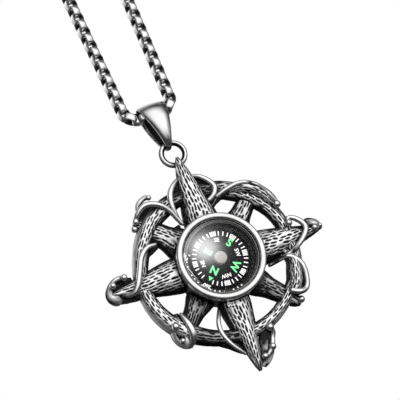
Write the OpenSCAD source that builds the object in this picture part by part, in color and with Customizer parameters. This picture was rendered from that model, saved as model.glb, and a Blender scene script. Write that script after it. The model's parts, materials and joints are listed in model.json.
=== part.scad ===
// A cast star-and-wheel pendant with a working compass in its hub, hung from a round box chain.
// The star is drawn flat, with its face up, and then stood up with its face towards -Y.
// The origin is where a peg or a neck carries the chain, inside the top of its loop.

/* [Star] */
// Distance from the middle of the hub to the tip of a main spike
spike_reach = 29.2; // [28:0.2:33]
// Half width of a main spike where it leaves the bezel
spike_half_w = 4.2; // [3.4:0.1:5]
// Height of a main spike's crest above the star's middle plane, at the bezel
spike_crest = 3.3; // [2.8:0.1:4]
// Depth of the star's back below its middle plane
back_depth = 2.4; // [2:0.1:3.2]
// Distance from the middle of the hub to the end of a short spur
spur_reach = 23.2; // [22.4:0.2:25]
// Half width of a short spur
spur_half_w = 2.4; // [1.8:0.1:3]
// Radius of the wheel, at the middle of its branch
wheel_r = 19.6; // [18.6:0.2:20.6]
// Half width of the wheel's branch
rim_half_w = 2.0; // [1.6:0.1:2.6]
// Height of the wheel's crest above the star's middle plane
rim_crest = 2.1; // [1.6:0.1:2.6]
// Radius of a vine where it is thickest
vine_r = 0.75; // [0.6:0.05:0.95]
// Radius of a knob
knob_r = 0.95; // [0.8:0.05:1.2]

/* [Compass] */
// Outside radius of the bezel
bezel_r = 11.3; // [11:0.1:12]
// Thickness of the bezel's wall, which is also the width of its polished bead
bezel_wall = 1.6; // [1.3:0.1:2]
// Height of the bead's crest above the star's middle plane
bezel_crest = 6.4; // [6:0.1:7.4]
// Thickness of the bezel's floor
bezel_floor = 0.8; // [0.6:0.1:1]
// Width of the fixed degree ring round the card
degree_ring_w = 1.7; // [1.4:0.1:2.2]
// Depth of the card's face below the bead's crest
card_depth = 2.8; // [2.6:0.1:3]
// Thickness of the card
card_t = 0.3; // [0.2:0.05:0.4]
// Radius of the silver cap in the middle of the card
cap_r = 1.7; // [1.4:0.1:2]
// Height of that cap above the card's face
cap_h = 1.2; // [1:0.05:1.3]
// Radius of the pivot pin
pin_r = 0.3; // [0.25:0.05:0.4]
// Thickness of the window
window_t = 0.9; // [0.7:0.1:1.1]

/* [Hanging] */
// Radius of the hanging ring, at the middle of its wire
ring_r = 3.0; // [2.8:0.1:3.6]
// Thickness of the hanging ring's wire
ring_wire = 1.4; // [1.2:0.1:1.6]
// How far the hanging ring lies behind the star's middle plane
ring_back = 2.0; // [1.8:0.1:2.4]
// Height of the bail, outside
bail_h = 13.4; // [12:0.1:14.5]
// Depth of the bail, outside, from its front to its back
bail_d = 8.2; // [7.8:0.1:9]
// Width of the bail at its top
bail_w = 7.6; // [6.4:0.1:8]
// Width of the bail where it passes through the hanging ring
bail_foot_w = 1.4; // [1.2:0.1:1.8]
// Thickness of the bail's band
bail_t = 0.9; // [0.8:0.05:1.1]
// Lean of the hanging pendant, which brings its weight under the bail
hang_lean = 3.9; // [3:0.1:7]
// Turn of the hanging pendant in its own plane
hang_turn = 2; // [0:0.5:5]
// Turn of the hanging pendant about the upright
hang_yaw = -2; // [-6:0.5:6]
// Distance that the bail has slid to the right along the chain
bail_slide = 0.8; // [0:0.1:1.2]
// Distance that the hanging ring has slid to the right in the bail's foot
ring_slide = 0.5; // [0:0.1:0.8]

/* [Chain] */
// Length of the whole necklace round its middle line, clasp included
chain_length = 600; // [450:10:700]
// Outside width of the round box chain
chain_w = 3.2; // [2.8:0.1:3.4]
// Distance between the two strands where they rise from the bends, from middle to middle
strand_gap = 13.2; // [13:0.2:18]
// Lean of each strand away from the other
strand_spread = 1.3; // [0.5:0.1:3]
// Radius of the chain's bends beside the bail
bend_r = 3.5; // [3.3:0.1:4]
// Length of the clasp
clasp_l = 13; // [11:0.5:16]
// Thickness of the clasp
clasp_t = 2.6; // [2.2:0.1:3.2]
// Distance from the top of the straight strand down to the clasp
clasp_drop = 18; // [10:1:40]

/* [Hidden] */

// Gap between pieces that seat in each other
seat_gap = 0.05;
// Gap between pieces that hang or turn in each other
play = 0.12;
// Step back of the bezel's plain wall from its bead, and of the hub's plate from that wall
wall_step = 0.1;
plate_step = 0.3;
// Drop of the degree ring below the card, and of the window below the bead's crest
ring_drop = 0.1;
window_drop = 0.35;
// Wall of the card's stem, and thickness of the pivot pin's foot
stem_wall = 0.55;
pin_foot_t = 0.3;

// Columns of the tables. Angles are in degrees round the hub, anticlockwise from the right spike.
// Reach is a share of the wheel's radius up to REACH_BEND. From there it runs evenly to REACH_TIP,
// which is the tip of a main spike. Along a spike, a spur or for its knobs it is a share of its own reach.
// Lift is a share of the main spike's crest, crest of a branch's own, and depth of the back's.
REACH_BEND = 1.1;
REACH_TIP = 1.49;
ANGLE = 0;
REACH = 1;
LIFT = 2;
GIRTH = 3;
ALONG = 0;
WIDTH = 1;
CREST = 2;
DEPTH = 3;

// Sections of a main spike, from under the bezel to its tip: along, width, crest, depth
SPIKE = [
    [0.24, 1.10, 1.02, 1.00],
    [0.40, 1.10, 1.00, 1.00],
    [0.55, 0.92, 0.86, 0.96],
    [0.70, 0.67, 0.72, 0.90],
    [0.84, 0.44, 0.58, 0.80],
    [0.95, 0.22, 0.42, 0.66],
    [1.00, 0.10, 0.18, 0.36]
];

// The four main spikes: angle, reach, width
SPIKES = [
    [1.5, 0.985, 1.00],
    [90, 1.00, 1.00],
    [180, 0.99, 1.00],
    [270.7, 1.005, 0.92]
];

// Sections of a short spur, from under the bezel to its end: along, width, crest, depth
SPUR = [
    [0.30, 1.65, 0.56, 1.00],
    [0.50, 1.50, 0.54, 0.96],
    [0.62, 1.15, 0.50, 0.92],
    [0.80, 0.95, 0.40, 0.85],
    [0.94, 0.66, 0.34, 0.70],
    [1.00, 0.30, 0.16, 0.40]
];

// The four spurs: angle, width
SPURS = [
    [45, 1.00],
    [135, 1.15],
    [225, 1.00],
    [315, 1.00]
];

// The wheel's branch, one row every 22.5 degrees from the right spike: reach, width, crest
WHEEL = [
    [1.00, 0.95, 0.95],
    [1.01, 1.00, 1.00],
    [1.00, 1.22, 1.05],
    [0.98, 1.22, 1.00],
    [0.98, 0.90, 0.85],
    [0.98, 1.20, 1.00],
    [0.99, 1.15, 1.15],
    [0.99, 1.10, 1.10],
    [1.03, 0.95, 0.95],
    [1.04, 1.10, 1.05],
    [1.02, 1.25, 1.10],
    [1.00, 1.05, 0.95],
    [0.99, 0.95, 0.85],
    [0.99, 0.85, 0.90],
    [0.98, 0.80, 0.95],
    [1.00, 0.95, 1.00]
];

// Thick boughs that lie on the wheel: rows of angle, reach, lift of the crest, and girth,
// which here is the half width as a share of the wheel's
BOUGHS = [
    // over the wheel at the upper right
    [[76, 0.76, 0.30, 0.45], [66, 0.92, 0.70, 0.60], [54, 1.04, 1.05, 1.00], [42, 1.09, 1.08, 1.10],
     [31, 1.09, 0.98, 1.00], [25, 1.08, 0.85, 0.55]],
    // down from the right spike
    [[352, 0.86, 0.60, 0.55], [344, 0.96, 0.88, 0.85], [334, 1.00, 0.95, 1.12], [325, 1.03, 0.90, 1.15],
     [320, 1.03, 0.80, 1.00]],
    // swelling at the lower left
    [[211, 0.93, 0.40, 0.70], [217, 0.98, 0.62, 0.80], [222, 1.08, 0.60, 1.15], [228, 1.13, 0.48, 1.05],
     [233, 1.12, 0.30, 0.60]],
    // from the wheel down to the bottom spike's left side
    [[242, 0.99, 0.30, 0.70], [250, 1.03, 0.34, 0.75], [257, 1.07, 0.30, 0.75], [265, 1.19, 0.20, 0.50]],
    // web at the bottom spike's right side
    [[286, 1.00, 0.30, 0.60], [282.5, 1.13, 0.30, 1.00], [279, 1.25, 0.22, 1.05], [275.5, 1.37, 0.14, 0.85],
     [272.5, 1.45, 0.08, 0.45]],
    // sole of the left spike's foot
    [[186, 1.06, 0.20, 0.50], [184.5, 1.22, 0.20, 0.60], [182.5, 1.36, 0.16, 0.75], [180, 1.46, 0.16, 0.55]],
    // heel of that foot, under its curl
    [[174, 1.14, 0.20, 0.40], [174.5, 1.26, 0.20, 0.75], [176, 1.38, 0.20, 0.75], [178, 1.44, 0.15, 0.75]],
    // web under the vine that leaves the upper left spur
    [[143, 0.80, 0.10, 0.50], [150, 0.86, 0.14, 0.55], [157, 0.93, 0.14, 0.45]],
    // web between that spur and the hub
    [[132, 0.72, 0.10, 0.40], [124, 0.68, 0.14, 0.45], [116, 0.66, 0.14, 0.40]],
    // web under the arch at the upper left
    [[137, 1.08, 0.16, 0.50], [127, 1.09, 0.16, 0.85], [117, 1.08, 0.16, 0.70]],
    // web behind the top spike
    [[104, 1.06, 0.14, 0.45], [97, 1.12, 0.14, 0.55], [90, 1.13, 0.14, 0.55], [83, 1.12, 0.14, 0.55],
     [77, 1.05, 0.14, 0.45]]
];

// Smooth vines: rows of angle, reach, lift, girth
VINES = [
    // over the right spike and back along its lower side
    [[10, 1.05, 0.72, 0.90], [13.5, 1.09, 0.62, 0.80], [10, 1.18, 0.62, 0.95], [3.5, 1.23, 0.70, 1.00],
     [357, 1.14, 0.78, 0.95], [350, 0.98, 0.66, 0.85], [342.5, 0.77, 0.50, 0.80], [336, 0.64, 0.40, 0.60]],
    // round the outside of the wheel below the right spike
    [[346, 0.80, 0.46, 0.60], [345, 0.94, 0.66, 0.90], [340, 1.06, 0.70, 1.00], [332, 1.14, 0.55, 0.95],
     [325, 1.17, 0.45, 0.95], [320, 1.10, 0.66, 1.10], [318, 0.97, 0.72, 1.00]],
    // over the bough at the upper right
    [[72, 0.84, 0.60, 0.60], [63, 0.96, 0.90, 0.80], [54, 1.08, 1.00, 0.80], [44, 1.13, 1.00, 0.75],
     [34, 1.12, 0.92, 0.75], [26, 1.10, 0.80, 0.80]],
    // hook beside the bottom spike
    [[286.5, 1.06, 0.60, 1.00], [287, 1.13, 0.40, 0.85], [284.5, 1.20, 0.26, 0.80], [282, 1.27, 0.30, 0.90],
     [279, 1.33, 0.24, 0.80], [275, 1.38, 0.16, 0.60]],
    // from the hub down to the bottom spike's left side
    [[250, 0.62, 0.20, 0.60], [249, 0.80, 0.36, 0.80], [251, 0.94, 0.50, 0.85], [256, 1.07, 0.50, 0.75],
     [262, 1.18, 0.30, 0.70], [266, 1.25, 0.10, 0.50]],
    // leaf that wraps the joint at the lower left
    [[214, 0.86, 0.30, 0.60], [223, 0.93, 0.62, 1.20], [229.5, 1.02, 0.62, 1.40], [232, 1.12, 0.34, 1.20],
     [230, 1.20, -0.05, 0.90]],
    // over the left spike
    [[147, 0.82, 0.62, 0.60], [152, 0.93, 0.80, 0.85], [160, 1.00, 0.88, 1.00], [170, 1.04, 0.90, 1.00],
     [178.5, 1.10, 0.86, 1.00], [183, 1.17, 0.72, 0.90], [183.5, 1.24, 0.50, 0.80], [182, 1.29, 0.30, 0.70]],
    // arch at the upper left
    [[136, 1.16, 0.20, 0.90], [131, 1.19, 0.55, 0.95], [124, 1.17, 0.80, 1.00], [118, 1.05, 0.82, 1.00],
     [114.5, 0.90, 0.60, 0.90], [113.5, 0.75, 0.36, 0.80], [113, 0.64, 0.30, 0.60]],
    // curl above that arch
    [[129, 1.20, 0.40, 0.80], [125, 1.25, 0.34, 0.90], [120, 1.25, 0.30, 0.90], [117.5, 1.22, 0.36, 0.90]],
    // left of the top spike
    [[95, 1.21, 0.10, 0.60], [100, 1.15, 0.36, 0.80], [105.5, 1.06, 0.50, 1.05], [109.5, 0.94, 0.50, 1.00],
     [112, 0.80, 0.34, 0.80], [114, 0.66, 0.20, 0.60]],
    // right of the top spike
    [[87, 1.20, 0.10, 0.60], [82, 1.16, 0.36, 0.80], [77, 1.09, 0.50, 0.95], [72.5, 1.00, 0.55, 1.00],
     [73, 0.90, 0.55, 0.95], [76.5, 0.835, 0.45, 0.90], [80, 0.815, 0.40, 0.80]],
    // blunt foot of the left spike
    [[184, 1.34, 0.00, 1.80], [182, 1.43, 0.00, 2.00], [179, 1.47, 0.05, 1.50], [175, 1.43, 0.30, 0.95],
     [172.5, 1.34, 0.50, 0.85], [172.5, 1.25, 0.56, 0.85]],
    // head of the right spike
    [[7, 1.24, 0.10, 1.50], [5.5, 1.31, 0.16, 1.90], [3.5, 1.39, 0.18, 1.70], [2, 1.45, 0.16, 0.90]]
];

// Knobs at the ends of boughs and vines: angle, reach, lift, girth
KNOBS = [
    [25.5, 1.08, 0.86, 1.05],
    [10, 1.05, 0.82, 0.95],
    [1.5, 1.35, 0.52, 0.85],
    [2, 1.44, 0.30, 0.65],
    [286.5, 1.07, 0.66, 1.05],
    [281.5, 1.29, 0.40, 0.95],
    [275, 1.36, 0.42, 0.95],
    [217.5, 1.07, 0.80, 1.10],
    [172.5, 1.25, 0.60, 0.95],
    [175.5, 1.41, 0.46, 0.95],
    [117.5, 1.21, 0.36, 0.75]
];

// Knobs at the ends of the spurs: angle, share of a spur's reach, lift, girth
SPUR_KNOBS = [
    [317, 0.98, 0.10, 1.00],
    [226, 0.985, 0.40, 0.80],
    [135.5, 0.985, 0.40, 0.95],
    [139.5, 0.965, 0.12, 0.95]
];

// Facets of the swept pieces
SPAN_STEPS = 2;
SPIKE_SIDES = 12;
BRANCH_SIDES = 10;
VINE_SIDES = 8;
CHAIN_SIDES = 8;
BEND_STEPS = 4;
STRAND_STEPS = 24;
TOP_STEPS = 9;

// Share by which the bail is deeper near its top than near its foot
BAIL_EGG = 0.15;

// Hub: a plate under the bezel, and the pocket that the bezel stands in
hub_r = bezel_r - plate_step;
seat_h = 0.4;

// Compass stack, from the bezel's floor up
bezel_base = seat_h + seat_gap;
capsule_base = bezel_base + bezel_floor + seat_gap;
capsule_r = bezel_r - bezel_wall - seat_gap;
capsule_floor = 0.8;
card_top = bezel_crest - card_depth;
ring_top = card_top - ring_drop;
well_r = capsule_r - degree_ring_w;
card_r = well_r - 4 * play;
window_top = bezel_crest - window_drop;
window_skirt = 0.6;
hub_bore_r = pin_r + seat_gap;
hub_stem_r = pin_r + stem_wall;
hub_drop = 0.8;
hub_roof = 0.25;

// Hanging gear, from the chain's run through the bail down to the star
chain_r = chain_w / 2;
spread_arc = strand_spread * PI / 180;
foot_x = strand_gap / 2;
run_half = foot_x - bend_r * cos(strand_spread);
bend_l = bend_r * (PI / 2 - spread_arc);
strand_l = (chain_length / 2 - run_half - bend_l - foot_x / cos(strand_spread) * (PI / 2 + spread_arc))
    / (1 + tan(strand_spread) * (PI / 2 + spread_arc));
top_r = (foot_x + strand_l * sin(strand_spread)) / cos(strand_spread);
top_l = top_r * (PI / 2 + spread_arc);
arc_z = chain_r - top_r;
foot_z = arc_z - top_r * sin(strand_spread) - strand_l * cos(strand_spread);
run_z = foot_z - bend_r * (1 - sin(strand_spread));
// The bail rests where the chain bends up beside its run, at the bail's outer edge
bail_over = min(max(bail_slide + bail_w / 2 - run_half, 0), bend_r * 0.9);
bail_rise = bend_r - sqrt(bend_r * bend_r - bail_over * bail_over);
bail_top = run_z + chain_r + play + bail_rise + bail_t;
bail_mid = bail_top - bail_h / 2;
swing_z = bail_top - bail_h + bail_t + play + ring_wire / 2;
ring_lap = 1.3;
clasp_end = run_half + bend_l + strand_l - clasp_drop;
clasp_start = clasp_end - clasp_l;
clasp_r = 2.9;
clasp_eye_r = 2.1;
clasp_hole_r = 1.1;
ring_y = spike_reach - ring_lap + ring_r;

function unit(v) = v / norm(v);
function sign_power(x, e) = sign(x) * pow(abs(x), e);

// Catmull-Rom spline through the rows of a table, with a few steps to each span
function spline_row(rows, i, t) =
    let (last = len(rows) - 1,
         a = rows[max(i - 1, 0)], b = rows[i], c = rows[min(i + 1, last)], d = rows[min(i + 2, last)])
    (2 * b + (c - a) * t + (2 * a - 5 * b + 4 * c - d) * t * t + (3 * b - a - 3 * c + d) * t * t * t) / 2;
function smooth_rows(rows, steps) =
    [for (i = [0 : len(rows) - 2], k = [0 : steps - 1]) spline_row(rows, i, k / steps), rows[len(rows) - 1]];

// Angles of a table made continuous, so that no span turns the long way round
function unwound(a, from) = a - 360 * round((a - from) / 360);
function unwind(rows) = [for (r = rows) [unwound(r[ANGLE], rows[0][ANGLE]), r[REACH], r[LIFT], r[GIRTH]]];
function reach_r(reach) =
    wheel_r * min(reach, REACH_BEND)
    + (spike_reach - wheel_r * REACH_BEND) * max(reach - REACH_BEND, 0) / (REACH_TIP - REACH_BEND);
function around(r, angle, z) = [r * cos(angle), r * sin(angle), z];
function on_wheel(row, z) = around(reach_r(row[REACH]), row[ANGLE], z);

// Directions of a path at each of its points: the tangent, the level direction across it and the one upwards
function tangent(path, i, closed) =
    let (n = len(path))
    closed ? unit(path[(i + 1) % n] - path[(i + n - 1) % n])
           : unit(path[min(i + 1, n - 1)] - path[max(i - 1, 0)]);
function across(t, up) = unit(cross(t, up));

// One ring of a branch's skin: an arched top over a flatter back
function skin_ring(p, t, up, half_w, crest, depth, sides, square) =
    let (side = across(t, up), rise = cross(side, t))
    [for (k = [0 : sides - 1])
        let (a = 360 * k / sides, e = sin(a) < 0 ? square : 1,
             c = sign_power(cos(a), e), s = sign_power(sin(a), e))
        p + side * half_w * c + rise * (s > 0 ? crest : depth) * s];

// Closes rings of points into a solid, end to end or with flat ends
module skin(rings, closed = false) {
    n = len(rings[0]);
    m = len(rings);
    walls = [for (i = [0 : m - (closed ? 1 : 2)], k = [0 : n - 1])
        let (j = (i + 1) % m, l = (k + 1) % n)
        each [[i * n + k, i * n + l, j * n + l], [i * n + k, j * n + l, j * n + k]]];
    ends = closed ? [] : [[for (k = [n - 1 : -1 : 0]) k], [for (k = [0 : n - 1]) (m - 1) * n + k]];
    polyhedron(points = [for (r = rings) each r], faces = concat(walls, ends), convexity = 8);
}

// A straight branch from the hub, with the sections of a table
module ray(table, reach, half_w) {
    rows = smooth_rows(table, SPAN_STEPS);
    skin([for (r = rows)
        skin_ring([reach * r[ALONG], 0, 0], [1, 0, 0], [0, 0, 1], half_w * r[WIDTH], spike_crest * r[CREST],
                  back_depth * r[DEPTH], SPIKE_SIDES, 0.6)]);
}

// A branch along a path on the wheel
module limb(path, half_ws, crests, depths, sides, closed = false) {
    skin([for (i = [0 : len(path) - 1])
        skin_ring(path[i], tangent(path, i, closed), [0, 0, 1], half_ws[i], crests[i], depths[i], sides, 1)],
        closed);
}

module main_spikes() {
    for (row = SPIKES)
        rotate(row[0]) ray(SPIKE, spike_reach * row[1], spike_half_w * row[2]);
}

module spurs() {
    for (row = SPURS)
        rotate(row[0]) ray(SPUR, spur_reach, spur_half_w * row[1]);
}

module wheel() {
    n = len(WHEEL);
    path = [for (i = [0 : n - 1], k = [0 : 2])
        let (a = 360 * (i + k / 3) / n, f = k / 3, r = WHEEL[i] * (1 - f) + WHEEL[(i + 1) % n] * f)
        [wheel_r * r[0] * cos(a), wheel_r * r[0] * sin(a), rim_half_w * r[1], rim_crest * r[2]]];
    limb([for (p = path) [p[0], p[1], 0]], [for (p = path) p[2]], [for (p = path) p[3]],
         [for (p = path) 0.85 * back_depth], BRANCH_SIDES, closed = true);
}

module bough(table) {
    rows = smooth_rows(unwind(table), SPAN_STEPS);
    limb([for (r = rows) on_wheel(r, 0)], [for (r = rows) rim_half_w * r[GIRTH]],
         [for (r = rows) spike_crest * r[LIFT]], [for (r = rows) 0.6 * back_depth * r[GIRTH]], BRANCH_SIDES);
}

module vine(table) {
    rows = smooth_rows(unwind(table), SPAN_STEPS);
    girths = [for (r = rows) vine_r * r[GIRTH]];
    limb([for (r = rows) on_wheel(r, spike_crest * r[LIFT])], girths, girths, girths, VINE_SIDES);
}

// A knob is a drop: a ball drawn a little towards the hub and into the metal below
module knob(row, reach) {
    r = knob_r * row[GIRTH];
    at = around(reach, row[ANGLE], spike_crest * row[LIFT]);
    hull() {
        translate(at) sphere(r, $fn = 8);
        translate([0.96 * at.x, 0.96 * at.y, at.z - r]) sphere(0.8 * r, $fn = 6);
    }
}

// The hanging ring lies behind the top spike's tip, with solder between them
module hanging_ring() {
    translate([0, ring_y, -ring_back])
        rotate_extrude($fn = 30) translate([ring_r, 0]) circle(d = ring_wire, $fn = 10);
    hull() {
        translate([0, ring_y - ring_r, -ring_back]) sphere(d = ring_wire, $fn = 10);
        translate([0, ring_y - ring_r - ring_wire, -ring_back / 2]) sphere(d = ring_wire, $fn = 10);
    }
}

module star() {
    color([0.45, 0.45, 0.46]) pendant_place() difference() {
        union() {
            main_spikes();
            spurs();
            wheel();
            for (table = BOUGHS) bough(table);
            for (table = VINES) vine(table);
            for (row = KNOBS) knob(row, reach_r(row[REACH]));
            for (row = SPUR_KNOBS) knob(row, spur_reach * row[REACH]);
            translate([0, 0, -back_depth]) cylinder(r = hub_r, h = back_depth + seat_h, $fn = 48);
            hanging_ring();
        }
        translate([0, 0, seat_h]) cylinder(r = bezel_r + seat_gap, h = bezel_crest, $fn = 72);
    }
}

// Stands the flat star up and hangs it: the ring's wire rests in the foot of the bail
module pendant_place() {
    translate([bail_slide + ring_slide, 0, swing_z]) rotate([hang_lean, 0, hang_yaw])
        translate([0, 0, -ring_r])
        rotate([0, hang_turn, 0]) translate([0, -ring_back, -ring_y]) rotate([90, 0, 0]) children();
}

module bezel() {
    bead_r = bezel_wall / 2;
    color([0.82, 0.82, 0.83]) pendant_place() rotate_extrude($fn = 96) {
        translate([0, bezel_base]) square([bezel_r - wall_step, bezel_floor]);
        translate([bezel_r - bezel_wall, bezel_base])
            square([bezel_wall - wall_step, bezel_crest - bead_r - bezel_base]);
        translate([bezel_r - bead_r, bezel_crest - bead_r]) circle(bead_r, $fn = 32);
    }
}

module capsule() {
    color([0.05, 0.05, 0.06]) pendant_place() rotate_extrude($fn = 96) {
        translate([0, capsule_base]) square([capsule_r, capsule_floor]);
        translate([well_r, capsule_base]) square([degree_ring_w, ring_top - capsule_base]);
    }
}

module pivot_pin() {
    foot = capsule_base + capsule_floor + seat_gap;
    tip = card_top + cap_h - hub_roof - seat_gap;
    color([0.7, 0.6, 0.35]) pendant_place() {
        translate([0, 0, foot]) cylinder(r = 2 * pin_r, h = pin_foot_t, $fn = 32);
        translate([0, 0, foot]) cylinder(r = pin_r, h = tip - foot, $fn = 32);
    }
}

module card() {
    color([0.08, 0.08, 0.1]) pendant_place() translate([0, 0, card_top - card_t])
        difference() {
            cylinder(r = card_r, h = card_t, $fn = 96);
            translate([0, 0, -1]) cylinder(r = hub_stem_r + seat_gap, h = card_t + 2, $fn = 48);
        }
}

module card_hub() {
    color([0.75, 0.75, 0.76]) pendant_place() rotate_extrude($fn = 64) {
        translate([hub_bore_r, card_top - hub_drop]) square([hub_stem_r - hub_bore_r, hub_drop + cap_h]);
        translate([0, card_top + cap_h - hub_roof]) square([hub_stem_r, hub_roof]);
        translate([hub_bore_r, card_top + seat_gap]) square([cap_r - hub_bore_r, cap_h - seat_gap]);
    }
}

module window() {
    color([0.8, 0.85, 0.9, 0.35]) pendant_place() rotate_extrude($fn = 96) {
        translate([0, window_top - window_t]) square([capsule_r, window_t]);
        translate([capsule_r - window_skirt, ring_top + seat_gap])
            square([window_skirt, window_top - ring_top - seat_gap]);
    }
}

// The bail's band follows an ellipse and widens from its foot to its top
module bail() {
    steps = 36;
    band_d = bail_d - bail_t;
    band_h = bail_h - bail_t;
    path = [for (i = [0 : steps - 1]) let (a = 360 * i / steps)
        [bail_slide, band_d / 2 * sin(a) * (1 + BAIL_EGG * cos(a)), bail_mid + band_h / 2 * cos(a)]];
    color([0.7, 0.7, 0.71]) skin([for (i = [0 : steps - 1])
        let (t = tangent(path, i, true), out = cross([1, 0, 0], t),
             share = (path[i].z - bail_mid) / band_h + 0.5,
             half_w = (bail_foot_w + (bail_w - bail_foot_w) * (1 - pow(max(1 - share, 0), 1.3))) / 2)
        [for (k = [0 : 11]) let (a = 30 * k, c = sign_power(cos(a), 0.6), s = sign_power(sin(a), 0.8))
            path[i] + [1, 0, 0] * half_w * c + out * bail_t / 2 * s]],
        closed = true);
}

// The chain's middle line, by distance from the middle of its run through the bail
function loop_point(s) =
    s < 0 ? let (p = loop_point(-s)) [-p.x, 0, p.z] :
    s <= run_half ? [s, 0, run_z] :
    s <= run_half + bend_l ? let (a = (s - run_half) / bend_r * 180 / PI)
        [run_half + bend_r * sin(a), 0, run_z + bend_r * (1 - cos(a))] :
    s <= run_half + bend_l + strand_l ? let (up = s - run_half - bend_l)
        [foot_x + up * sin(strand_spread), 0, foot_z + up * cos(strand_spread)] :
    let (a = (s - run_half - bend_l - strand_l) / top_r * 180 / PI - strand_spread)
        [top_r * cos(a), 0, arc_z + top_r * sin(a)];

// The chain's solid is a plain tube round the whole loop, open only where the clasp sits
module chain() {
    bends = [for (k = [0 : BEND_STEPS]) run_half + bend_l * k / BEND_STEPS];
    strand = [for (k = [1 : STRAND_STEPS - 1]) run_half + bend_l + strand_l * k / STRAND_STEPS];
    arc = [for (k = [0 : TOP_STEPS]) run_half + bend_l + strand_l + top_l * k / TOP_STEPS];
    above = concat([clasp_end + seat_gap], [for (s = strand) if (s > clasp_end + chain_w) s], arc);
    far_side = [for (s = concat(bends, strand, [arc[0]])) s];
    below = concat(bends, [for (s = strand) if (s < clasp_start - chain_w) s], [clasp_start - seat_gap]);
    route = concat([for (s = above) loop_point(s)],
                   [for (k = [TOP_STEPS - 1 : -1 : 1]) loop_point(-arc[k])],
                   [for (k = [len(far_side) - 1 : -1 : 0]) loop_point(-far_side[k])],
                   [for (s = below) loop_point(s)]);
    color([0.62, 0.62, 0.63]) skin([for (i = [0 : len(route) - 1])
        skin_ring(route[i], tangent(route, i, false), [0, 1, 0], chain_r, chain_r, chain_r, CHAIN_SIDES, 1)]);
}

// The clasp is one plain piece with an eye at each end
module clasp() {
    color([0.7, 0.7, 0.71]) translate(loop_point(clasp_start)) rotate([0, strand_spread, 0])
        translate([0, clasp_t / 2, 0]) rotate([90, 0, 0]) linear_extrude(clasp_t) difference() {
            union() {
                translate([0, clasp_r]) circle(clasp_r, $fn = 48);
                translate([0, clasp_l - clasp_eye_r]) circle(clasp_eye_r, $fn = 48);
                translate([-0.8 * clasp_eye_r, clasp_r])
                    square([1.6 * clasp_eye_r, clasp_l - clasp_eye_r - clasp_r]);
            }
            translate([0, 0.8 * clasp_r]) circle(clasp_hole_r, $fn = 48);
            translate([0, clasp_l - clasp_eye_r]) circle(clasp_hole_r, $fn = 48);
        }
}

star();
bezel();
capsule();
pivot_pin();
card();
card_hub();
window();
bail();
chain();
clasp();
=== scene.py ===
# A cast star-and-wheel pendant with a working compass, on its bail and its round box chain.
# Pieces of the pendant are drawn flat in millimetres, face up, and then hung as the solids are.
import json
import math

import bmesh
import bpy
import numpy as np
from mathutils import Matrix, Vector


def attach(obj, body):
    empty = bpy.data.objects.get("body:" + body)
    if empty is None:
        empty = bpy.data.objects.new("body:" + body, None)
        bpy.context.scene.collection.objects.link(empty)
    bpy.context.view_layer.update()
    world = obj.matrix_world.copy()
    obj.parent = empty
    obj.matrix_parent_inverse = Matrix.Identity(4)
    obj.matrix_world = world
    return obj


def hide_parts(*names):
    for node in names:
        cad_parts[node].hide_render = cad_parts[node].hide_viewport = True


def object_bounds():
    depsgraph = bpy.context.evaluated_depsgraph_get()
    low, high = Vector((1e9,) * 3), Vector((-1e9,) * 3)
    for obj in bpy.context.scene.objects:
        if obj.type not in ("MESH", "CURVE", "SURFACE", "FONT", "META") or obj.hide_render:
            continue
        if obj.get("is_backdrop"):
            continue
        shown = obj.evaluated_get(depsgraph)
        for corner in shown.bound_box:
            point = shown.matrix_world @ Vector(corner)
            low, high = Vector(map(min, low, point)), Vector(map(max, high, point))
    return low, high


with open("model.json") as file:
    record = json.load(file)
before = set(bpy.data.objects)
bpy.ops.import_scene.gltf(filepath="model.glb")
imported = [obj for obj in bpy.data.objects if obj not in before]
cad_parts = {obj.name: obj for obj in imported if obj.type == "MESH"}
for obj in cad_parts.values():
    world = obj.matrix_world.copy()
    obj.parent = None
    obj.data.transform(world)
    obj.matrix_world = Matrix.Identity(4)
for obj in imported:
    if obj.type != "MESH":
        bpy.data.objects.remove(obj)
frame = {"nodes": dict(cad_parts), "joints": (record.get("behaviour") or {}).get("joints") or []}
cad_low, cad_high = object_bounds()

# Main spikes of the star: four tapering boughs, cast by lost wax in one piece with the rest of the pendant.
# The casting is stainless steel, blackened and then wiped on a soft wheel, so crests come up bright
# while the chiselled bark and the flanks stay black.
SPIKE_REACH = 29.2
SPIKE_HALF_W = 4.2
SPIKE_CREST = 3.3
BACK_DEPTH = 2.4
# Sections from under the bezel to the tip: along, width, crest, depth
SPIKE = [
    (0.32, 1.10, 1.02, 1.00),
    (0.40, 1.10, 1.00, 1.00),
    (0.55, 0.92, 0.86, 0.96),
    (0.70, 0.67, 0.72, 0.90),
    (0.84, 0.44, 0.58, 0.80),
    (0.95, 0.22, 0.42, 0.66),
    (1.00, 0.10, 0.18, 0.36),
]
# Angle round the hub, reach, width
SPIKES = [(1.5, 0.985, 1.00), (90, 1.00, 1.00), (180, 0.99, 1.00), (270.7, 1.005, 0.92)]
# Where bark starts its pattern. Every branch has its own.
SPIKE_SEED = 11
# A spike's flanks are black below this share of its height. On the two upright spikes the share drops
# from one distance along the spike to another.
SPIKE_FLANK = 0.68
FLANK_DROP = 0.3
DROP_FROM = 8
DROP_TO = 14
# Above the seat the boughs end on the bezel's wall
BEZEL_WALL_R = 11.32
SEAT_Z = 0.35
# The ring that the pendant hangs by, behind the top spike's tip
RING_R = 3.0
RING_WIRE = 1.4
RING_BACK = 2.0
RING_OVERLAP = 1.3
RING_Y = SPIKE_REACH - RING_OVERLAP + RING_R
# Degrees that the hanging pendant leans forward, turns in its own plane, and turns about the upright
HANG_LEAN = 3.9
HANG_TURN = 2.0
HANG_YAW = -2.0
# A millimetre in Blender's metres
MM = 0.001


def joint_place(name):
    """The place of a joint of the frame, in metres."""
    return next(j for j in frame["joints"] if j["name"] == name)["pos_m"]


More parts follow.
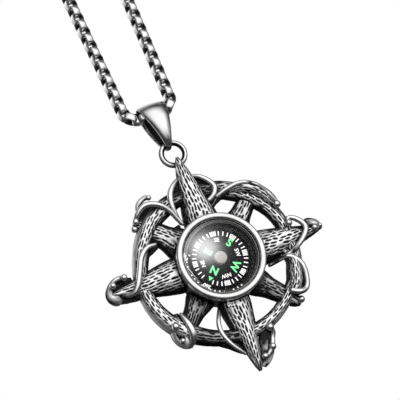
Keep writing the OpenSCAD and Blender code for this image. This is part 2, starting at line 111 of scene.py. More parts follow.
hang = (
    Matrix.Translation(joint_place("pendant_swing"))
    @ Matrix.Rotation(math.radians(HANG_YAW), 4, "Z")
    @ Matrix.Rotation(math.radians(HANG_LEAN), 4, "X")
    @ Matrix.Scale(MM, 4)
    @ Matrix.Translation((0, 0, -RING_R))
    @ Matrix.Rotation(math.radians(HANG_TURN), 4, "Y")
    @ Matrix.Translation((0, -RING_BACK, -RING_Y))
    @ Matrix.Rotation(math.radians(90), 4, "X")
)


def linear(hex_colour):
    """An sRGB hex colour as linear red, green, blue and alpha."""
    parts = [int(hex_colour[i:i + 2], 16) / 255 for i in (1, 3, 5)]
    return tuple(c / 12.92 if c <= 0.04045 else ((c + 0.055) / 1.055) ** 2.4 for c in parts) + (1.0,)


def add(tree, kind, values=None, links=None, **settings):
    """Adds a node with its settings, its sockets' values and the outputs that feed its sockets."""
    made = tree.nodes.new(kind)
    for name, value in settings.items():
        setattr(made, name, value)
    for socket, value in (values or {}).items():
        made.inputs[socket].default_value = value
    for socket, output in (links or {}).items():
        tree.links.new(output, made.inputs[socket])
    return made


def new_material(name):
    """A material with an empty node tree."""
    made = bpy.data.materials.new(name)
    made.use_nodes = True
    made.node_tree.nodes.clear()
    return made, made.node_tree


def antiqued_steel(name, bright, black, polish, grain_mm, reach_mm):
    """Blackened steel that is wiped bright. The black oxide is left where the patina attribute says.
    Recesses that the polishing wheel doesn't reach are darkened too, partly as oxide and partly as painted
    shade.
    Polish is the roughness of the bright steel, and the last two sizes are of its grain and of how far a
    recess is felt."""
    made, tree = new_material(name)
    place = add(tree, "ShaderNodeTexCoord").outputs["Object"]
    patina = add(tree, "ShaderNodeAttribute", attribute_name="patina").outputs["Fac"]
    # Faint smudges, about a millimetre across, lie all over the bright steel
    wear = add(
        tree, "ShaderNodeTexNoise", {"Scale": 1000 / 1.1, "Detail": 3.0}, {"Vector": place}
    ).outputs["Fac"]
    smudge = add(
        tree, "ShaderNodeMapRange",
        {"From Min": 0.35, "From Max": 0.75, "To Min": 0.0, "To Max": 0.12}, {"Value": wear},
    ).outputs["Result"]
    # Painted shade: recesses found by ambient occlusion are darkened, partly as oxide and partly as shade
    open_side = add(
        tree, "ShaderNodeAmbientOcclusion", {"Distance": reach_mm / 1000}, samples=6
    ).outputs["AO"]
    recess = add(
        tree, "ShaderNodeMapRange",
        {"From Min": 0.4, "From Max": 0.84, "To Min": 1.0, "To Max": 0.0}, {"Value": open_side},
    ).outputs["Result"]
    smudge_and_recess_shade = add(tree, "ShaderNodeMath", None, {0: smudge, 1: recess}, operation="ADD").outputs[0]
    oxide = add(
        tree, "ShaderNodeMath", {1: 1.35}, {0: patina, 2: smudge_and_recess_shade}, operation="MULTIPLY_ADD", use_clamp=True
    ).outputs[0]
    tint = add(
        tree, "ShaderNodeMix", {"A": linear(bright), "B": linear(black)}, {"Factor": oxide}, data_type="RGBA"
    ).outputs["Result"]
    # Oxide is less of a metal than the polished steel, and rougher
    metal = add(
        tree, "ShaderNodeMapRange", {"To Min": 1.0, "To Max": 0.55}, {"Value": oxide}
    ).outputs["Result"]
    rough = add(
        tree, "ShaderNodeMapRange", {"To Min": polish, "To Max": 0.48}, {"Value": oxide}
    ).outputs["Result"]
    grain = add(
        tree, "ShaderNodeTexNoise", {"Scale": 1000 / grain_mm, "Detail": 2.0}, {"Vector": place}
    ).outputs["Fac"]
    # The finer the polish, the fainter the grain
    bump = add(
        tree, "ShaderNodeBump", {"Strength": 3 * polish - 0.36, "Distance": 0.00004}, {"Height": grain}
    ).outputs["Normal"]
    shader = add(
        tree, "ShaderNodeBsdfPrincipled", None,
        {"Base Color": tint, "Metallic": metal, "Roughness": rough, "Normal": bump},
    )
    add(tree, "ShaderNodeOutputMaterial", None, {"Surface": shader.outputs[0]})
    return made


# Antiqued cast stainless steel: a near-white polish on what stands proud, matt black oxide and painted shade
# in what lies deep
cast_steel = antiqued_steel("antiqued_cast_steel", "#EBEBEB", "#0B0B0C", 0.2, 0.35, 7)


def scatter(i, j, seed):
    """A repeatable number from 0 to 1 for each cell of a grid. Large factors make neighbours differ."""
    return np.modf(np.abs(np.sin(i * 127.1 + j * 311.7 + seed * 74.7) * 43758.5453))[0]


def grain(u, v, seed):
    """Smooth value noise from -1 to 1."""
    i, j = np.floor(u), np.floor(v)
    a, b = u - i, v - j
    a, b = a * a * (3 - 2 * a), b * b * (3 - 2 * b)
    near = scatter(i, j, seed) * (1 - a) + scatter(i + 1, j, seed) * a
    far = scatter(i, j + 1, seed) * (1 - a) + scatter(i + 1, j + 1, seed) * a
    return 2 * (near * (1 - b) + far * b) - 1


def ramp(x, start, end):
    """A smooth step that is 0 at start and 1 at end."""
    t = np.clip((x - start) / (end - start), 0, 1)
    return t * t * (3 - 2 * t)


def bark(
    u, v, lift, seed,
    row=0.74, period=2.0, dash=1.6, width=0.38, base=0.0, flank=SPIKE_FLANK, deep=0.2, wander=1.0,
):
    """Chiselled bark: staggered lens-shaped cuts along the branch, and black flanks with fine streaks.
    u runs along the branch and v across it, in mm, and lift is 1 on the crest and 0 at the side.
    Dash, width and deep are a cut's length, width and depth. Row is the distance between rows of cuts,
    and period that between the cuts in a row. Wander is how far the rows stray, base how black the bark
    is all over, and flank the lift below which a side is black.
    Returns the depth of the cuts and the patina."""
    v = v + wander * (0.22 * np.sin(u / 2.9 + seed) + 0.13 * grain(u / 1.4, v / 1.1, seed + 3))
    line = np.floor(v / row)
    shift = (0.5 * (line % 2) + 0.4 * scatter(line, 3.0, seed)) * period
    cell = np.floor((u + shift) / period)
    chance, other = scatter(line, cell, seed + 1), scatter(cell, line, seed + 2)
    # Distances from the middle of the nearest cut, which is a little off its place and aslant
    du = u + shift - (cell + 0.5) * period + 0.3 * (other - 0.5)
    dv = v - (line + 0.5) * row + 0.16 * (chance - 0.5) + 0.14 * du * (other - 0.5)
    half = dash / 2 * (0.7 + 0.6 * chance)
    lens = width / 2 * (0.8 + 0.5 * other) * np.sqrt(np.clip(1 - (du / half) ** 2, 0, 1))
    # A few cuts are left out
    cut = np.clip(0.5 + (lens - np.abs(dv)) / 0.13, 0, 1) * (lens > 0) * (other > 0.06)
    streak = grain(u / 2.2, v / 0.22, seed + 5)
    side = 1 - ramp(lift + 0.14 * grain(u / 1.3, v / 0.5, seed + 7), flank - 0.2, flank + 0.12)
    dark = side * (0.88 + 0.3 * streak) + 0.35 * ramp(streak, 0.45, 0.9)
    patina = 1 - (1 - cut) * (1 - np.clip(dark, 0, 1)) * (1 - base * (1 + 0.6 * streak))
    return deep * cut + 0.05 * ramp(streak, 0.3, 0.9), np.clip(patina, 0, 1)


def smooth_rows(rows, steps, closed=False):
    """A Catmull-Rom spline through the rows of a table."""
    rows = np.array(rows, float)
    n = len(rows)
    made = []
    for i in range(n if closed else n - 1):
        picks = [(i + k) % n if closed else min(max(i + k, 0), n - 1) for k in (-1, 0, 1, 2)]
        a, b, c, d = rows[picks]
        for t in np.arange(steps) / steps:
            made.append((2 * b + (c - a) * t + (2 * a - 5 * b + 4 * c - d) * t * t
                         + (3 * b - a - 3 * c + d) * t ** 3) / 2)
    made.append(rows[0 if closed else -1])
    return np.array(made)


def skin(bm, path, half_w, crest, depth, sides, finish, square=1.0, closed=False):
    """Wraps a grid round a path as one branch: an arched top over a flatter back, which is squarer
    the lower square is. The seam runs along the back."""
    ahead = np.gradient(path, axis=0)
    if closed:
        ahead[0] = ahead[-1] = path[1] - path[-2]
    ahead /= np.linalg.norm(ahead, axis=1)[:, None]
    side = np.cross(ahead, (0, 0, 1))
    side /= np.linalg.norm(side, axis=1)[:, None]
    rise = np.cross(side, ahead)
    along = np.concatenate([[0], np.cumsum(np.linalg.norm(np.diff(path, axis=0), axis=1))])
    # The top gets most of the grid, because it shows
    turn = np.radians(np.interp(np.arange(sides + 1) / sides, [0, 0.14, 0.86, 1], [-90, 0, 180, 270]))
    power = np.where(np.sin(turn) < -1e-9, square, 1.0)
    c = np.sign(np.cos(turn)) * np.abs(np.cos(turn)) ** power
    s = np.sign(np.sin(turn)) * np.abs(np.sin(turn)) ** power
    wide = half_w[:, None] * c
    high = np.where(s > 0, crest[:, None], depth[:, None]) * s
    reach = np.hypot(wide, high)
    girth = ((half_w + crest) / 2)[:, None]
    cut, patina = finish(along[:, None] + 0 * wide, (turn - math.pi / 2) * girth, s + 0 * wide)
    # The flat of the back is wiped too
    patina = patina * (1 - 0.6 * ramp(-s, 0.7, 0.95))
    keep = 1 - np.minimum(cut / np.maximum(reach, 0.05), 0.5)
    wide, high = (wide * keep)[..., None], (high * keep)[..., None]
    points = path[:, None] + side[:, None] * wide + rise[:, None] * high
    rows = len(path) - 1
    layer = bm.verts.layers.float["patina"]
    made = bmesh.ops.create_grid(bm, x_segments=sides, y_segments=rows, size=1)["verts"]
    for vert in made:
        i, k = round((vert.co.y + 1) / 2 * rows), round((vert.co.x + 1) / 2 * sides)
        vert.co = Vector(points[i, k])
        vert[layer] = patina[i, k]
    return made


def branch_mesh():
    """A bmesh with room for the patina."""
    bm = bmesh.new()
    bm.verts.layers.float.new("patina")
    return bm


def closed_up(bm):
    """Merges seams, closes the ends of branches and points every face outwards."""
    bmesh.ops.remove_doubles(bm, verts=bm.verts, dist=0.0005)
    open_edges = [e for e in bm.edges if e.is_boundary]
    if open_edges:
        bmesh.ops.holes_fill(bm, edges=open_edges, sides=0)
    bmesh.ops.recalc_face_normals(bm, faces=bm.faces)
    return bm


def piece(name, bm, material, body, crease=50):
    """Makes a finished bmesh, in metres and in its place, a piece that rides on a body.
    No point of it stands out past the solids' own box."""
    for vert in bm.verts:
        for axis in range(3):
            vert.co[axis] = min(max(vert.co[axis], cad_low[axis]), cad_high[axis])
    mesh = bpy.data.meshes.new(name)
    bm.to_mesh(mesh)
    bm.free()
    mesh.materials.append(material)
    mesh.polygons.foreach_set("use_smooth", [True] * len(mesh.polygons))
    mesh.set_sharp_from_angle(angle=math.radians(crease))
    made = bpy.data.objects.new(name, mesh)
    bpy.context.scene.collection.objects.link(made)
    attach(made, body)
    return made


def hung(name, bm, material, body="pendant", crease=50):
    """Hangs a bmesh that was drawn flat in millimetres."""
    bmesh.ops.transform(bm, matrix=hang, verts=bm.verts)
    return piece(name, bm, material, body, crease)


def ray(bm, table, reach, half_w, angle, steps, sides, finish):
    """A straight branch out of the hub. Where it meets the bezel, it ends on the bezel's round wall."""
    rows = smooth_rows(table, steps)
    path = np.zeros((len(rows), 3))
    path[:, 0] = reach * rows[:, 0]
    crest, depth = SPIKE_CREST * rows[:, 2], BACK_DEPTH * rows[:, 3]
    made = skin(bm, path, half_w * rows[:, 1], crest, depth, sides, finish, square=0.6)
    for vert in made:
        wall = math.sqrt(max(BEZEL_WALL_R ** 2 - vert.co.y ** 2, 0))
        if vert.co.z > SEAT_Z and vert.co.x < wall:
            vert.co.x = wall
    bmesh.ops.rotate(bm, matrix=Matrix.Rotation(math.radians(angle), 3, "Z"), verts=made)


def spike_bark(u, v, lift, number):
    """Bark of a main spike, each with its own seed. Odd numbers are the upright spikes."""
    flank = SPIKE_FLANK - FLANK_DROP * (number % 2) * ramp(u, DROP_FROM, DROP_TO)
    return bark(u, v, lift, SPIKE_SEED + number, flank=flank)


bm = branch_mesh()
for number, (angle, reach, width) in enumerate(SPIKES):
    ray(bm, SPIKE, SPIKE_REACH * reach, SPIKE_HALF_W * width, angle, steps=22, sides=132,
        finish=lambda u, v, lift: spike_bark(u, v, lift, number))
spikes = hung("spikes", closed_up(bm), cast_steel)
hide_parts("star")

# Spurs: four short boughs between the spikes, part of the same casting, with a finer bark.
# The two upper ones are wiped brighter than the two lower ones.
SPUR_REACH = 23.2
SPUR_HALF_W = 2.4
SPUR = [
    (0.42, 1.62, 0.55, 1.00),
    (0.50, 1.50, 0.54, 0.96),
    (0.62, 1.15, 0.50, 0.92),
    (0.80, 0.95, 0.40, 0.85),
    (0.94, 0.66, 0.34, 0.70),
    (1.00, 0.30, 0.16, 0.40),
]
# Angle round the hub, width, how black its bark is all over
SPURS = [(45, 1.00, 0.1), (135, 1.15, 0.1), (225, 1.00, 0.42), (315, 1.00, 0.42)]
SPUR_SEED = 31
SPUR_BARK = {"row": 0.58, "dash": 1.7, "width": 0.3, "flank": 0.75, "deep": 0.15, "wander": 1.2}
bm = branch_mesh()
for number, (angle, width, black) in enumerate(SPURS):
    ray(bm, SPUR, SPUR_REACH, SPUR_HALF_W * width, angle, steps=18, sides=96,
        finish=lambda u, v, lift: bark(u, v, lift, SPUR_SEED + number, base=black, **SPUR_BARK))
hung("spurs", closed_up(bm), cast_steel)

# Wheel: one branch bent into a ring through the spikes and spurs, part of the same casting.
# It is thicker where boughs lie on it.
WHEEL_R = 19.6
RIM_HALF_W = 2.0
RIM_CREST = 2.1
RIM_DEPTH = 0.85 * BACK_DEPTH
# One row every 22.5 degrees from the right spike: reach, width, crest
WHEEL = [
    (1.00, 0.95, 0.95), (1.01, 1.00, 1.00), (1.00, 1.22, 1.05), (0.98, 1.22, 1.00),
    (0.98, 0.90, 0.85), (0.98, 1.20, 1.00), (0.99, 1.15, 1.15), (0.99, 1.10, 1.10),
    (1.03, 0.95, 0.95), (1.04, 1.10, 1.05), (1.02, 1.25, 1.10), (1.00, 1.05, 0.95),
    (0.99, 0.95, 0.85), (0.99, 0.85, 0.90), (0.98, 0.80, 0.95), (1.00, 0.95, 1.00),
]
# Stretches darkened as painted shade, left of the bottom spike and behind the top one: degrees round the
# wheel where the shade sets in, is full, starts to fade and has gone, and how dark
SHADED_STRETCHES = [(228, 238, 262, 272, 0.5), (64, 74, 106, 116, 0.65)]
RIM_SEED = 51
WHEEL_BARK = {"row": 0.72, "period": 2.3, "dash": 1.8, "width": 0.34, "flank": 0.78}
rows = smooth_rows(WHEEL, steps=44, closed=True)
round_hub = np.linspace(0, 2 * math.pi, len(rows))
out = WHEEL_R * rows[:, 0]
path = np.stack([out * np.cos(round_hub), out * np.sin(round_hub), 0 * round_hub], 1)


def rim_bark(u, v, lift):
    """Bark along the top of the wheel, and a smooth wall on its outside, grey where it is rubbed.
    Two stretches of bark and wall are darkened as painted shade.
    """
    cut, patina = bark(u, v, lift, RIM_SEED, **WHEEL_BARK)
    wall = ramp(-v + 0.3 * grain(u / 2.5, 0 * v, 9), 1.3, 2.0) * ramp(lift, -0.3, 0.1)
    worn = 0.3 + 0.2 * grain(u / 3.1, v / 1.2, 12) + 0.12 * grain(u / 1.4, v / 0.25, 13)
    angle = 360 * u / u.max()
    # Painted shade: left of the bottom spike and behind the top one, bark and wall are darkened
    painted_shade = sum(
        black * ramp(angle, start, full) * (1 - ramp(angle, fade, end))
        for start, full, fade, end, black in SHADED_STRETCHES
    )
    patina = 1 - (1 - patina) * (1 - painted_shade * (1 + 0.4 * grain(u / 2.2, v / 0.3, 14)))
    return cut * (1 - wall), np.clip(patina * (1 - wall) + (worn + 1.4 * painted_shade) * wall, 0, 1)


bm = branch_mesh()
half_w, crest, depth = RIM_HALF_W * rows[:, 1], RIM_CREST * rows[:, 2], RIM_DEPTH + 0 * round_hub
skin(bm, path, half_w, crest, depth, sides=72, finish=rim_bark, closed=True)
hung("wheel", closed_up(bm), cast_steel)

# Boughs and webs: swellings that lie on the wheel, and the low black webs that tie spikes and vines to it.
# They are part of the same casting. Two webs at the upper left are black sheets of painted shade on flanks
# that lie in shade.
# Reach is a share of the wheel's radius up to the first of these. At the second are the spikes' tips.
REACH_BEND = 1.1
REACH_TIP = 1.49
BOUGH_DEPTH = 0.6 * BACK_DEPTH
BOUGH_SEED = 71
# Rows: angle round the hub, reach, lift of the crest, half width
BOUGHS = [
    # over the wheel at the upper right
    [(76, 0.76, 0.30, 0.45), (66, 0.92, 0.70, 0.60), (54, 1.04, 1.05, 1.00), (42, 1.09, 1.08, 1.10),
     (31, 1.09, 0.98, 1.00), (25, 1.08, 0.85, 0.55)],
    # down from the right spike
    [(352, 0.86, 0.60, 0.55), (344, 0.96, 0.88, 0.85), (334, 1.00, 0.95, 1.12), (325, 1.03, 0.90, 1.15),
     (320, 1.03, 0.80, 1.00)],
    # swelling at the lower left
    [(211, 0.93, 0.40, 0.70), (217, 0.98, 0.62, 0.80), (222, 1.08, 0.60, 1.15), (228, 1.13, 0.48, 1.05),
     (233, 1.12, 0.30, 0.60)],
    # from the wheel down to the bottom spike's left side
    [(242, 0.99, 0.30, 0.70), (250, 1.03, 0.34, 0.75), (257, 1.07, 0.30, 0.75), (265, 1.19, 0.20, 0.50)],
    # web at the bottom spike's right side
    [(286, 1.00, 0.30, 0.60), (282.5, 1.13, 0.30, 1.00), (279, 1.25, 0.22, 1.05), (275.5, 1.37, 0.14, 0.85),
     (272.5, 1.45, 0.08, 0.45)],
    # sole of the left spike's foot
    [(186, 1.06, 0.20, 0.50), (184.5, 1.22, 0.20, 0.60), (182.5, 1.36, 0.16, 0.75), (180, 1.46, 0.16, 0.55)],
    # heel of that foot, under its curl
    [(174, 1.14, 0.20, 0.40), (174.5, 1.26, 0.20, 0.75), (176, 1.38, 0.20, 0.75), (178, 1.44, 0.15, 0.75)],
    # web under the vine that leaves the upper left spur, a black sheet of painted shade on the spur's shaded
    # flank
    [(143, 0.80, 0.10, 0.50), (150, 0.86, 0.14, 0.55), (157, 0.93, 0.14, 0.45)],
    # web between that spur and the hub
    [(132, 0.72, 0.10, 0.40), (124, 0.68, 0.14, 0.45), (116, 0.66, 0.14, 0.40)],
    # web under the arch at the upper left, a black sheet of painted shade on the wheel's shaded flank
    [(137, 1.08, 0.16, 0.50), (127, 1.09, 0.16, 0.85), (117, 1.08, 0.16, 0.70)],
    # web behind the top spike
    [(104, 1.06, 0.14, 0.45), (97, 1.12, 0.14, 0.55), (90, 1.13, 0.14, 0.55), (83, 1.12, 0.14, 0.55),
     (77, 1.05, 0.14, 0.45)],
]


def on_wheel(rows, lift):
    """Points on the wheel for rows of angle and reach. Past the wheel, reach runs on to the spikes' tips."""
    past = np.maximum(rows[:, 1] - REACH_BEND, 0) / (REACH_TIP - REACH_BEND)
    reach = WHEEL_R * np.minimum(rows[:, 1], REACH_BEND) + (SPIKE_REACH - WHEEL_R * REACH_BEND) * past
    angle = np.radians(rows[:, 0])
    return np.stack([reach * np.cos(angle), reach * np.sin(angle), lift], 1)


def unwound(table):
    """The table with its angles made continuous."""
    return [(a - 360 * round((a - table[0][0]) / 360),) + tuple(rest) for a, *rest in table]


# Two of the boughs have no bark
LOWER_LEFT = 2
BESIDE_BOTTOM = 4
# A bough whose crest stays below this lift is a web
WEB_LIFT = 0.4
# How black the webs are. On the two webs at the upper left this black is painted shade.
WEB_BLACK_AND_SHADE = 0.75
BOUGH_BLACK = 0.05


def bough_bark(u, v, lift, number):
    """Bark on the high boughs and black on the webs. At the lower left is a smooth curl round a shallow
    hollow, which is painted black as shade, and beside the bottom spike the bough is smooth and grey."""
    if number == LOWER_LEFT:
        # Painted shade: the shallow hollow is blackened so that it reads as deep
        far = np.hypot((u - 5.6) / 1.5, (v + 0.6) / 0.85)
        hollow = 1 - ramp(far + 0.15 * grain(u / 0.7, v / 0.7, 4), 0.75, 1.1)
        wall = 0.2 + 0.45 * ramp(-lift, -0.6, 0.0) + 0.2 * grain(u / 1.8, v / 0.5, 8)
        wall = wall + 0.5 * (1 - ramp(u, 1.0, 3.0))
        return 0.9 * hollow, np.clip(1 - (1 - hollow) * (1 - wall), 0, 1)
    if number == BESIDE_BOTTOM:
        return 0 * u, np.clip(0.7 + 0.5 * grain(u / 1.5, v / 0.7, 8) + ramp(-lift, -0.2, 0.1), 0, 1)
    base = WEB_BLACK_AND_SHADE if max(row[2] for row in BOUGHS[number]) < WEB_LIFT else BOUGH_BLACK
    return bark(u, v, lift, BOUGH_SEED + number, base=base, **WHEEL_BARK)


bm = branch_mesh()
for number, table in enumerate(BOUGHS):
    rows = smooth_rows(unwound(table), steps=14)
    path = on_wheel(rows, 0 * rows[:, 0])
    half_w, crest, depth = RIM_HALF_W * rows[:, 3], SPIKE_CREST * rows[:, 2], BOUGH_DEPTH * rows[:, 3]
    skin(bm, path, half_w, crest, depth, sides=60, finish=lambda u, v, lift: bough_bark(u, v, lift, number))
hung("boughs", closed_up(bm), cast_steel)

# Vines: smooth tendrils that bind the boughs. They stand proudest, so their backs are polished bright
# and only their undersides keep the black.
VINE_R = 0.75
# Rows: angle, reach, lift, girth as a share of the vines' radius
VINES = [
    # over the right spike and back along its lower side
    [(10, 1.05, 0.72, 0.90), (13.5, 1.09, 0.62, 0.80), (10, 1.18, 0.62, 0.95), (3.5, 1.23, 0.70, 1.00),
     (357, 1.14, 0.78, 0.95), (350, 0.98, 0.66, 0.85), (342.5, 0.77, 0.50, 0.80), (336, 0.64, 0.40, 0.60)],
    # round the outside of the wheel below the right spike
    [(346, 0.80, 0.46, 0.60), (345, 0.94, 0.66, 0.90), (340, 1.06, 0.70, 1.00), (332, 1.14, 0.55, 0.95),
     (325, 1.17, 0.45, 0.95), (320, 1.10, 0.66, 1.10), (318, 0.97, 0.72, 1.00)],
    # over the bough at the upper right
    [(72, 0.84, 0.60, 0.60), (63, 0.96, 0.90, 0.80), (54, 1.08, 1.00, 0.80), (44, 1.13, 1.00, 0.75),
     (34, 1.12, 0.92, 0.75), (26, 1.10, 0.80, 0.80)],
    # hook beside the bottom spike
    [(286.5, 1.06, 0.60, 1.00), (287, 1.13, 0.40, 0.85), (284.5, 1.20, 0.26, 0.80), (282, 1.27, 0.30, 0.90),
     (279, 1.33, 0.24, 0.80), (275, 1.38, 0.16, 0.60)],
    # from the hub down to the bottom spike's left side
    [(250, 0.62, 0.20, 0.60), (249, 0.80, 0.36, 0.80), (251, 0.94, 0.50, 0.85), (256, 1.07, 0.50, 0.75),
     (262, 1.18, 0.30, 0.70), (266, 1.25, 0.10, 0.50)],
    # leaf that wraps the joint at the lower left
    [(214, 0.86, 0.30, 0.60), (223, 0.93, 0.62, 1.20), (229.5, 1.02, 0.62, 1.40), (232, 1.12, 0.34, 1.20),
     (230, 1.20, -0.05, 0.90)],
    # over the left spike
    [(147, 0.82, 0.62, 0.60), (152, 0.93, 0.80, 0.85), (160, 1.00, 0.88, 1.00), (170, 1.04, 0.90, 1.00),
     (178.5, 1.10, 0.86, 1.00), (183, 1.17, 0.72, 0.90), (183.5, 1.24, 0.50, 0.80), (182, 1.29, 0.30, 0.70)],
    # arch at the upper left
    [(136, 1.16, 0.20, 0.90), (131, 1.19, 0.55, 0.95), (124, 1.17, 0.80, 1.00), (118, 1.05, 0.82, 1.00),
     (114.5, 0.90, 0.60, 0.90), (113.5, 0.75, 0.36, 0.80), (113, 0.64, 0.30, 0.60)],
    # curl above that arch
    [(129, 1.20, 0.40, 0.80), (125, 1.25, 0.34, 0.90), (120, 1.25, 0.30, 0.90), (117.5, 1.22, 0.36, 0.90)],
    # left of the top spike
    [(95, 1.21, 0.10, 0.60), (100, 1.15, 0.36, 0.80), (105.5, 1.06, 0.50, 1.05), (109.5, 0.94, 0.50, 1.00),
     (112, 0.80, 0.34, 0.80), (114, 0.66, 0.20, 0.60)],
    # right of the top spike
    [(87, 1.20, 0.10, 0.60), (82, 1.16, 0.36, 0.80), (77, 1.09, 0.50, 0.95), (72.5, 1.00, 0.55, 1.00),
     (73, 0.90, 0.55, 0.95), (76.5, 0.835, 0.45, 0.90), (80, 0.815, 0.40, 0.80)],
    # blunt foot of the left spike
    [(184, 1.34, 0.00, 1.80), (182, 1.43, 0.00, 2.00), (179, 1.47, 0.05, 1.50), (175, 1.43, 0.30, 0.95),
     (172.5, 1.34, 0.50, 0.85), (172.5, 1.25, 0.56, 0.85)],
    # head of the right spike
    [(7, 1.24, 0.10, 1.50), (5.5, 1.31, 0.16, 1.90), (3.5, 1.39, 0.18, 1.70), (2, 1.45, 0.16, 0.90)],
]
# Vines whose backs are darker along a stretch: number, from and to as shares of the length, how dark
DULL = {
    0: (0.6, 1.0, 0.75), 2: (0.4, 1.0, 0.4), 8: (0.0, 1.0, 0.3), 11: (0.0, 1.0, 0.5), 12: (0.0, 1.0, 0.6),
}
NOT_DULL = (0.0, 1.0, 0.0)


def vine_finish(u, v, lift, start, end, black):
    """The finish of a vine: bright on its back, black below, with the edge a little uneven."""
    share = u / u.max()
    left = black * ramp(share, start - 0.12, start + 0.12) * (1 - ramp(share, end, end + 0.1))
    left = left * (1 + 1.1 * grain(u / 1.4, v / 0.4, 6))
    worn = 1 - ramp(lift + 0.08 * grain(u / 0.8, v / 0.3, 5), 0.05, 0.35)
    return 0 * u, np.clip(1 - (1 - worn) * (1 - left), 0, 1)


bm = branch_mesh()
for number, table in enumerate(VINES):
    rows = smooth_rows(unwound(table), steps=12)
    path = on_wheel(rows, SPIKE_CREST * rows[:, 2])
    girth = VINE_R * rows[:, 3]
    run = np.concatenate([[0], np.cumsum(np.linalg.norm(np.diff(path, axis=0), axis=1))])
    to_end = np.minimum(run, run[-1] - run)
    # Both ends are rounded off
    girth = girth * np.sqrt(np.clip(1 - (1 - np.minimum(to_end / girth, 1)) ** 2, 0.02, 1))
    dull = DULL.get(number, NOT_DULL)
    skin(bm, path, girth, girth, girth, sides=28, finish=lambda u, v, lift: vine_finish(u, v, lift, *dull))
hung("vines", closed_up(bm), cast_steel)

# Knobs: small round buds at the ends of boughs, vines and spurs. They are part of the same casting,
# and are wiped bright on top.
KNOB_R = 0.95
# A bud gets narrower below its middle
KNOB_TAPER = 0.15
# Rows: angle, reach, lift, girth
KNOBS = [
    (25.5, 1.08, 0.86, 1.05), (10, 1.05, 0.82, 0.95), (1.5, 1.35, 0.52, 0.85), (2, 1.44, 0.30, 0.65),
    (286.5, 1.07, 0.66, 1.05), (281.5, 1.29, 0.40, 0.95), (275, 1.36, 0.42, 0.95), (217.5, 1.07, 0.80, 1.10),
    (172.5, 1.25, 0.60, 0.95), (175.5, 1.41, 0.46, 0.95), (117.5, 1.21, 0.36, 0.75),
]
# On the spurs, reach is a share of a spur's own
SPUR_KNOBS = [
    (317, 0.98, 0.10, 1.00), (226, 0.985, 0.40, 0.80),
    (135.5, 0.985, 0.40, 0.95), (139.5, 0.965, 0.12, 0.95),
]
spots = list(zip(on_wheel(np.array(KNOBS), 0 * np.arange(len(KNOBS))), KNOBS))
for row in SPUR_KNOBS:
    angle = math.radians(row[0])
    spots.append((SPUR_REACH * row[1] * np.array((math.cos(angle), math.sin(angle), 0)), row))
bm = branch_mesh()
layer = bm.verts.layers.float["patina"]
for spot, row in spots:
    radius = KNOB_R * row[3]
    centre = Vector((spot[0], spot[1], SPIKE_CREST * row[2]))
    for vert in bmesh.ops.create_uvsphere(bm, u_segments=28, v_segments=18, radius=radius)["verts"]:
        level = vert.co.z / radius
        vert[layer] = float(1 - ramp(level, -0.75, -0.3))
        narrow = 1 + KNOB_TAPER * min(level, 0)
        vert.co = Vector((vert.co.x * narrow, vert.co.y * narrow, vert.co.z)) + centre
hung("knobs", closed_up(bm), cast_steel)

# Hanging ring: round wire bent to a ring and soldered behind the top spike's tip. Its front is wiped bright
# and its back keeps its black.
# Its inside and its rim are darkened as painted shade.
# The solder is a ball that is stretched and set below the ring's wire
SOLDER_STRETCH = (1.1, 1.9, 1.1)
SOLDER_BELOW = 0.5
SOLDER_BACK = 0.75 * RING_BACK


def full_spin(bm, geom, axis, steps):
    """Spins vertices and edges once round an axis through the origin."""
    bmesh.ops.spin(bm, geom=geom, cent=(0, 0, 0), axis=axis, angle=2 * math.pi, steps=steps, use_merge=True)


def wire_ring(bm, radius, wire, segments, steps):
    """Round wire bent to a closed ring about the pendant's axis."""
    made = bmesh.ops.create_circle(bm, segments=segments, radius=wire / 2)["verts"]
    bmesh.ops.rotate(bm, matrix=Matrix.Rotation(math.radians(90), 3, "X"), verts=made)
    bmesh.ops.translate(bm, vec=(radius, 0, 0), verts=made)
    full_spin(bm, bm.verts[:] + bm.edges[:], (0, 0, 1), steps)


bm = branch_mesh()
wire_ring(bm, RING_R, RING_WIRE, segments=24, steps=80)
bmesh.ops.translate(bm, vec=(0, RING_Y, -RING_BACK), verts=bm.verts)
made = bmesh.ops.create_uvsphere(bm, u_segments=24, v_segments=16, radius=RING_WIRE / 2)["verts"]
bmesh.ops.scale(bm, vec=SOLDER_STRETCH, verts=made)
bmesh.ops.translate(bm, vec=(0, RING_Y - RING_R - SOLDER_BELOW, -SOLDER_BACK), verts=made)
layer = bm.verts.layers.float["patina"]
for vert in bm.verts:
    out = (math.hypot(vert.co.x, vert.co.y - RING_Y) - RING_R) / (RING_WIRE / 2)
    # Painted shade: the inside of the ring and its outer rim are darkened
    inner = ramp(-out, 0.0, 0.4)
    outer = 0.7 * ramp(out, 0.6, 0.85)
    low = 1 - ramp(vert.co.z + RING_BACK, -0.35, 0.05)
    vert[layer] = float(max(inner, outer, low))
hung("hanging_ring", closed_up(bm), cast_steel)

# Hub: the round plate under the bezel, cast with the star. Its edge is blackened like the rest,
# and its plain back is wiped.
HUB_R = 11.0
HUB_TOP = 0.4
HUB_BACK = -2.42
HUB_EDGE = 0.4
BACK_BLACK = 0.25
EDGE_BLACK = 0.95


def arc(radius_at, height_at, radius, start, end, steps):
    """Points of a rounded edge in a turned profile."""
    made = []
    for k in range(steps + 1):
        a = math.radians(start + (end - start) * k / steps)
        made.append((radius_at + radius * math.cos(a), height_at + radius * math.sin(a)))
    return made


def outline(bm, points):
    """Vertices at points, and the edges that join them to a closed outline."""
    verts = [bm.verts.new(point) for point in points]
    return verts, [bm.edges.new((a, b)) for a, b in zip(verts, verts[1:] + verts[:1])]


def turned(bm, profile, steps=160):
    """Spins a closed profile of radius and height about the pendant's axis."""
    verts, edges = outline(bm, [(r, 0, z) for r, z in profile])
    full_spin(bm, verts + edges, (0, 0, 1), steps)


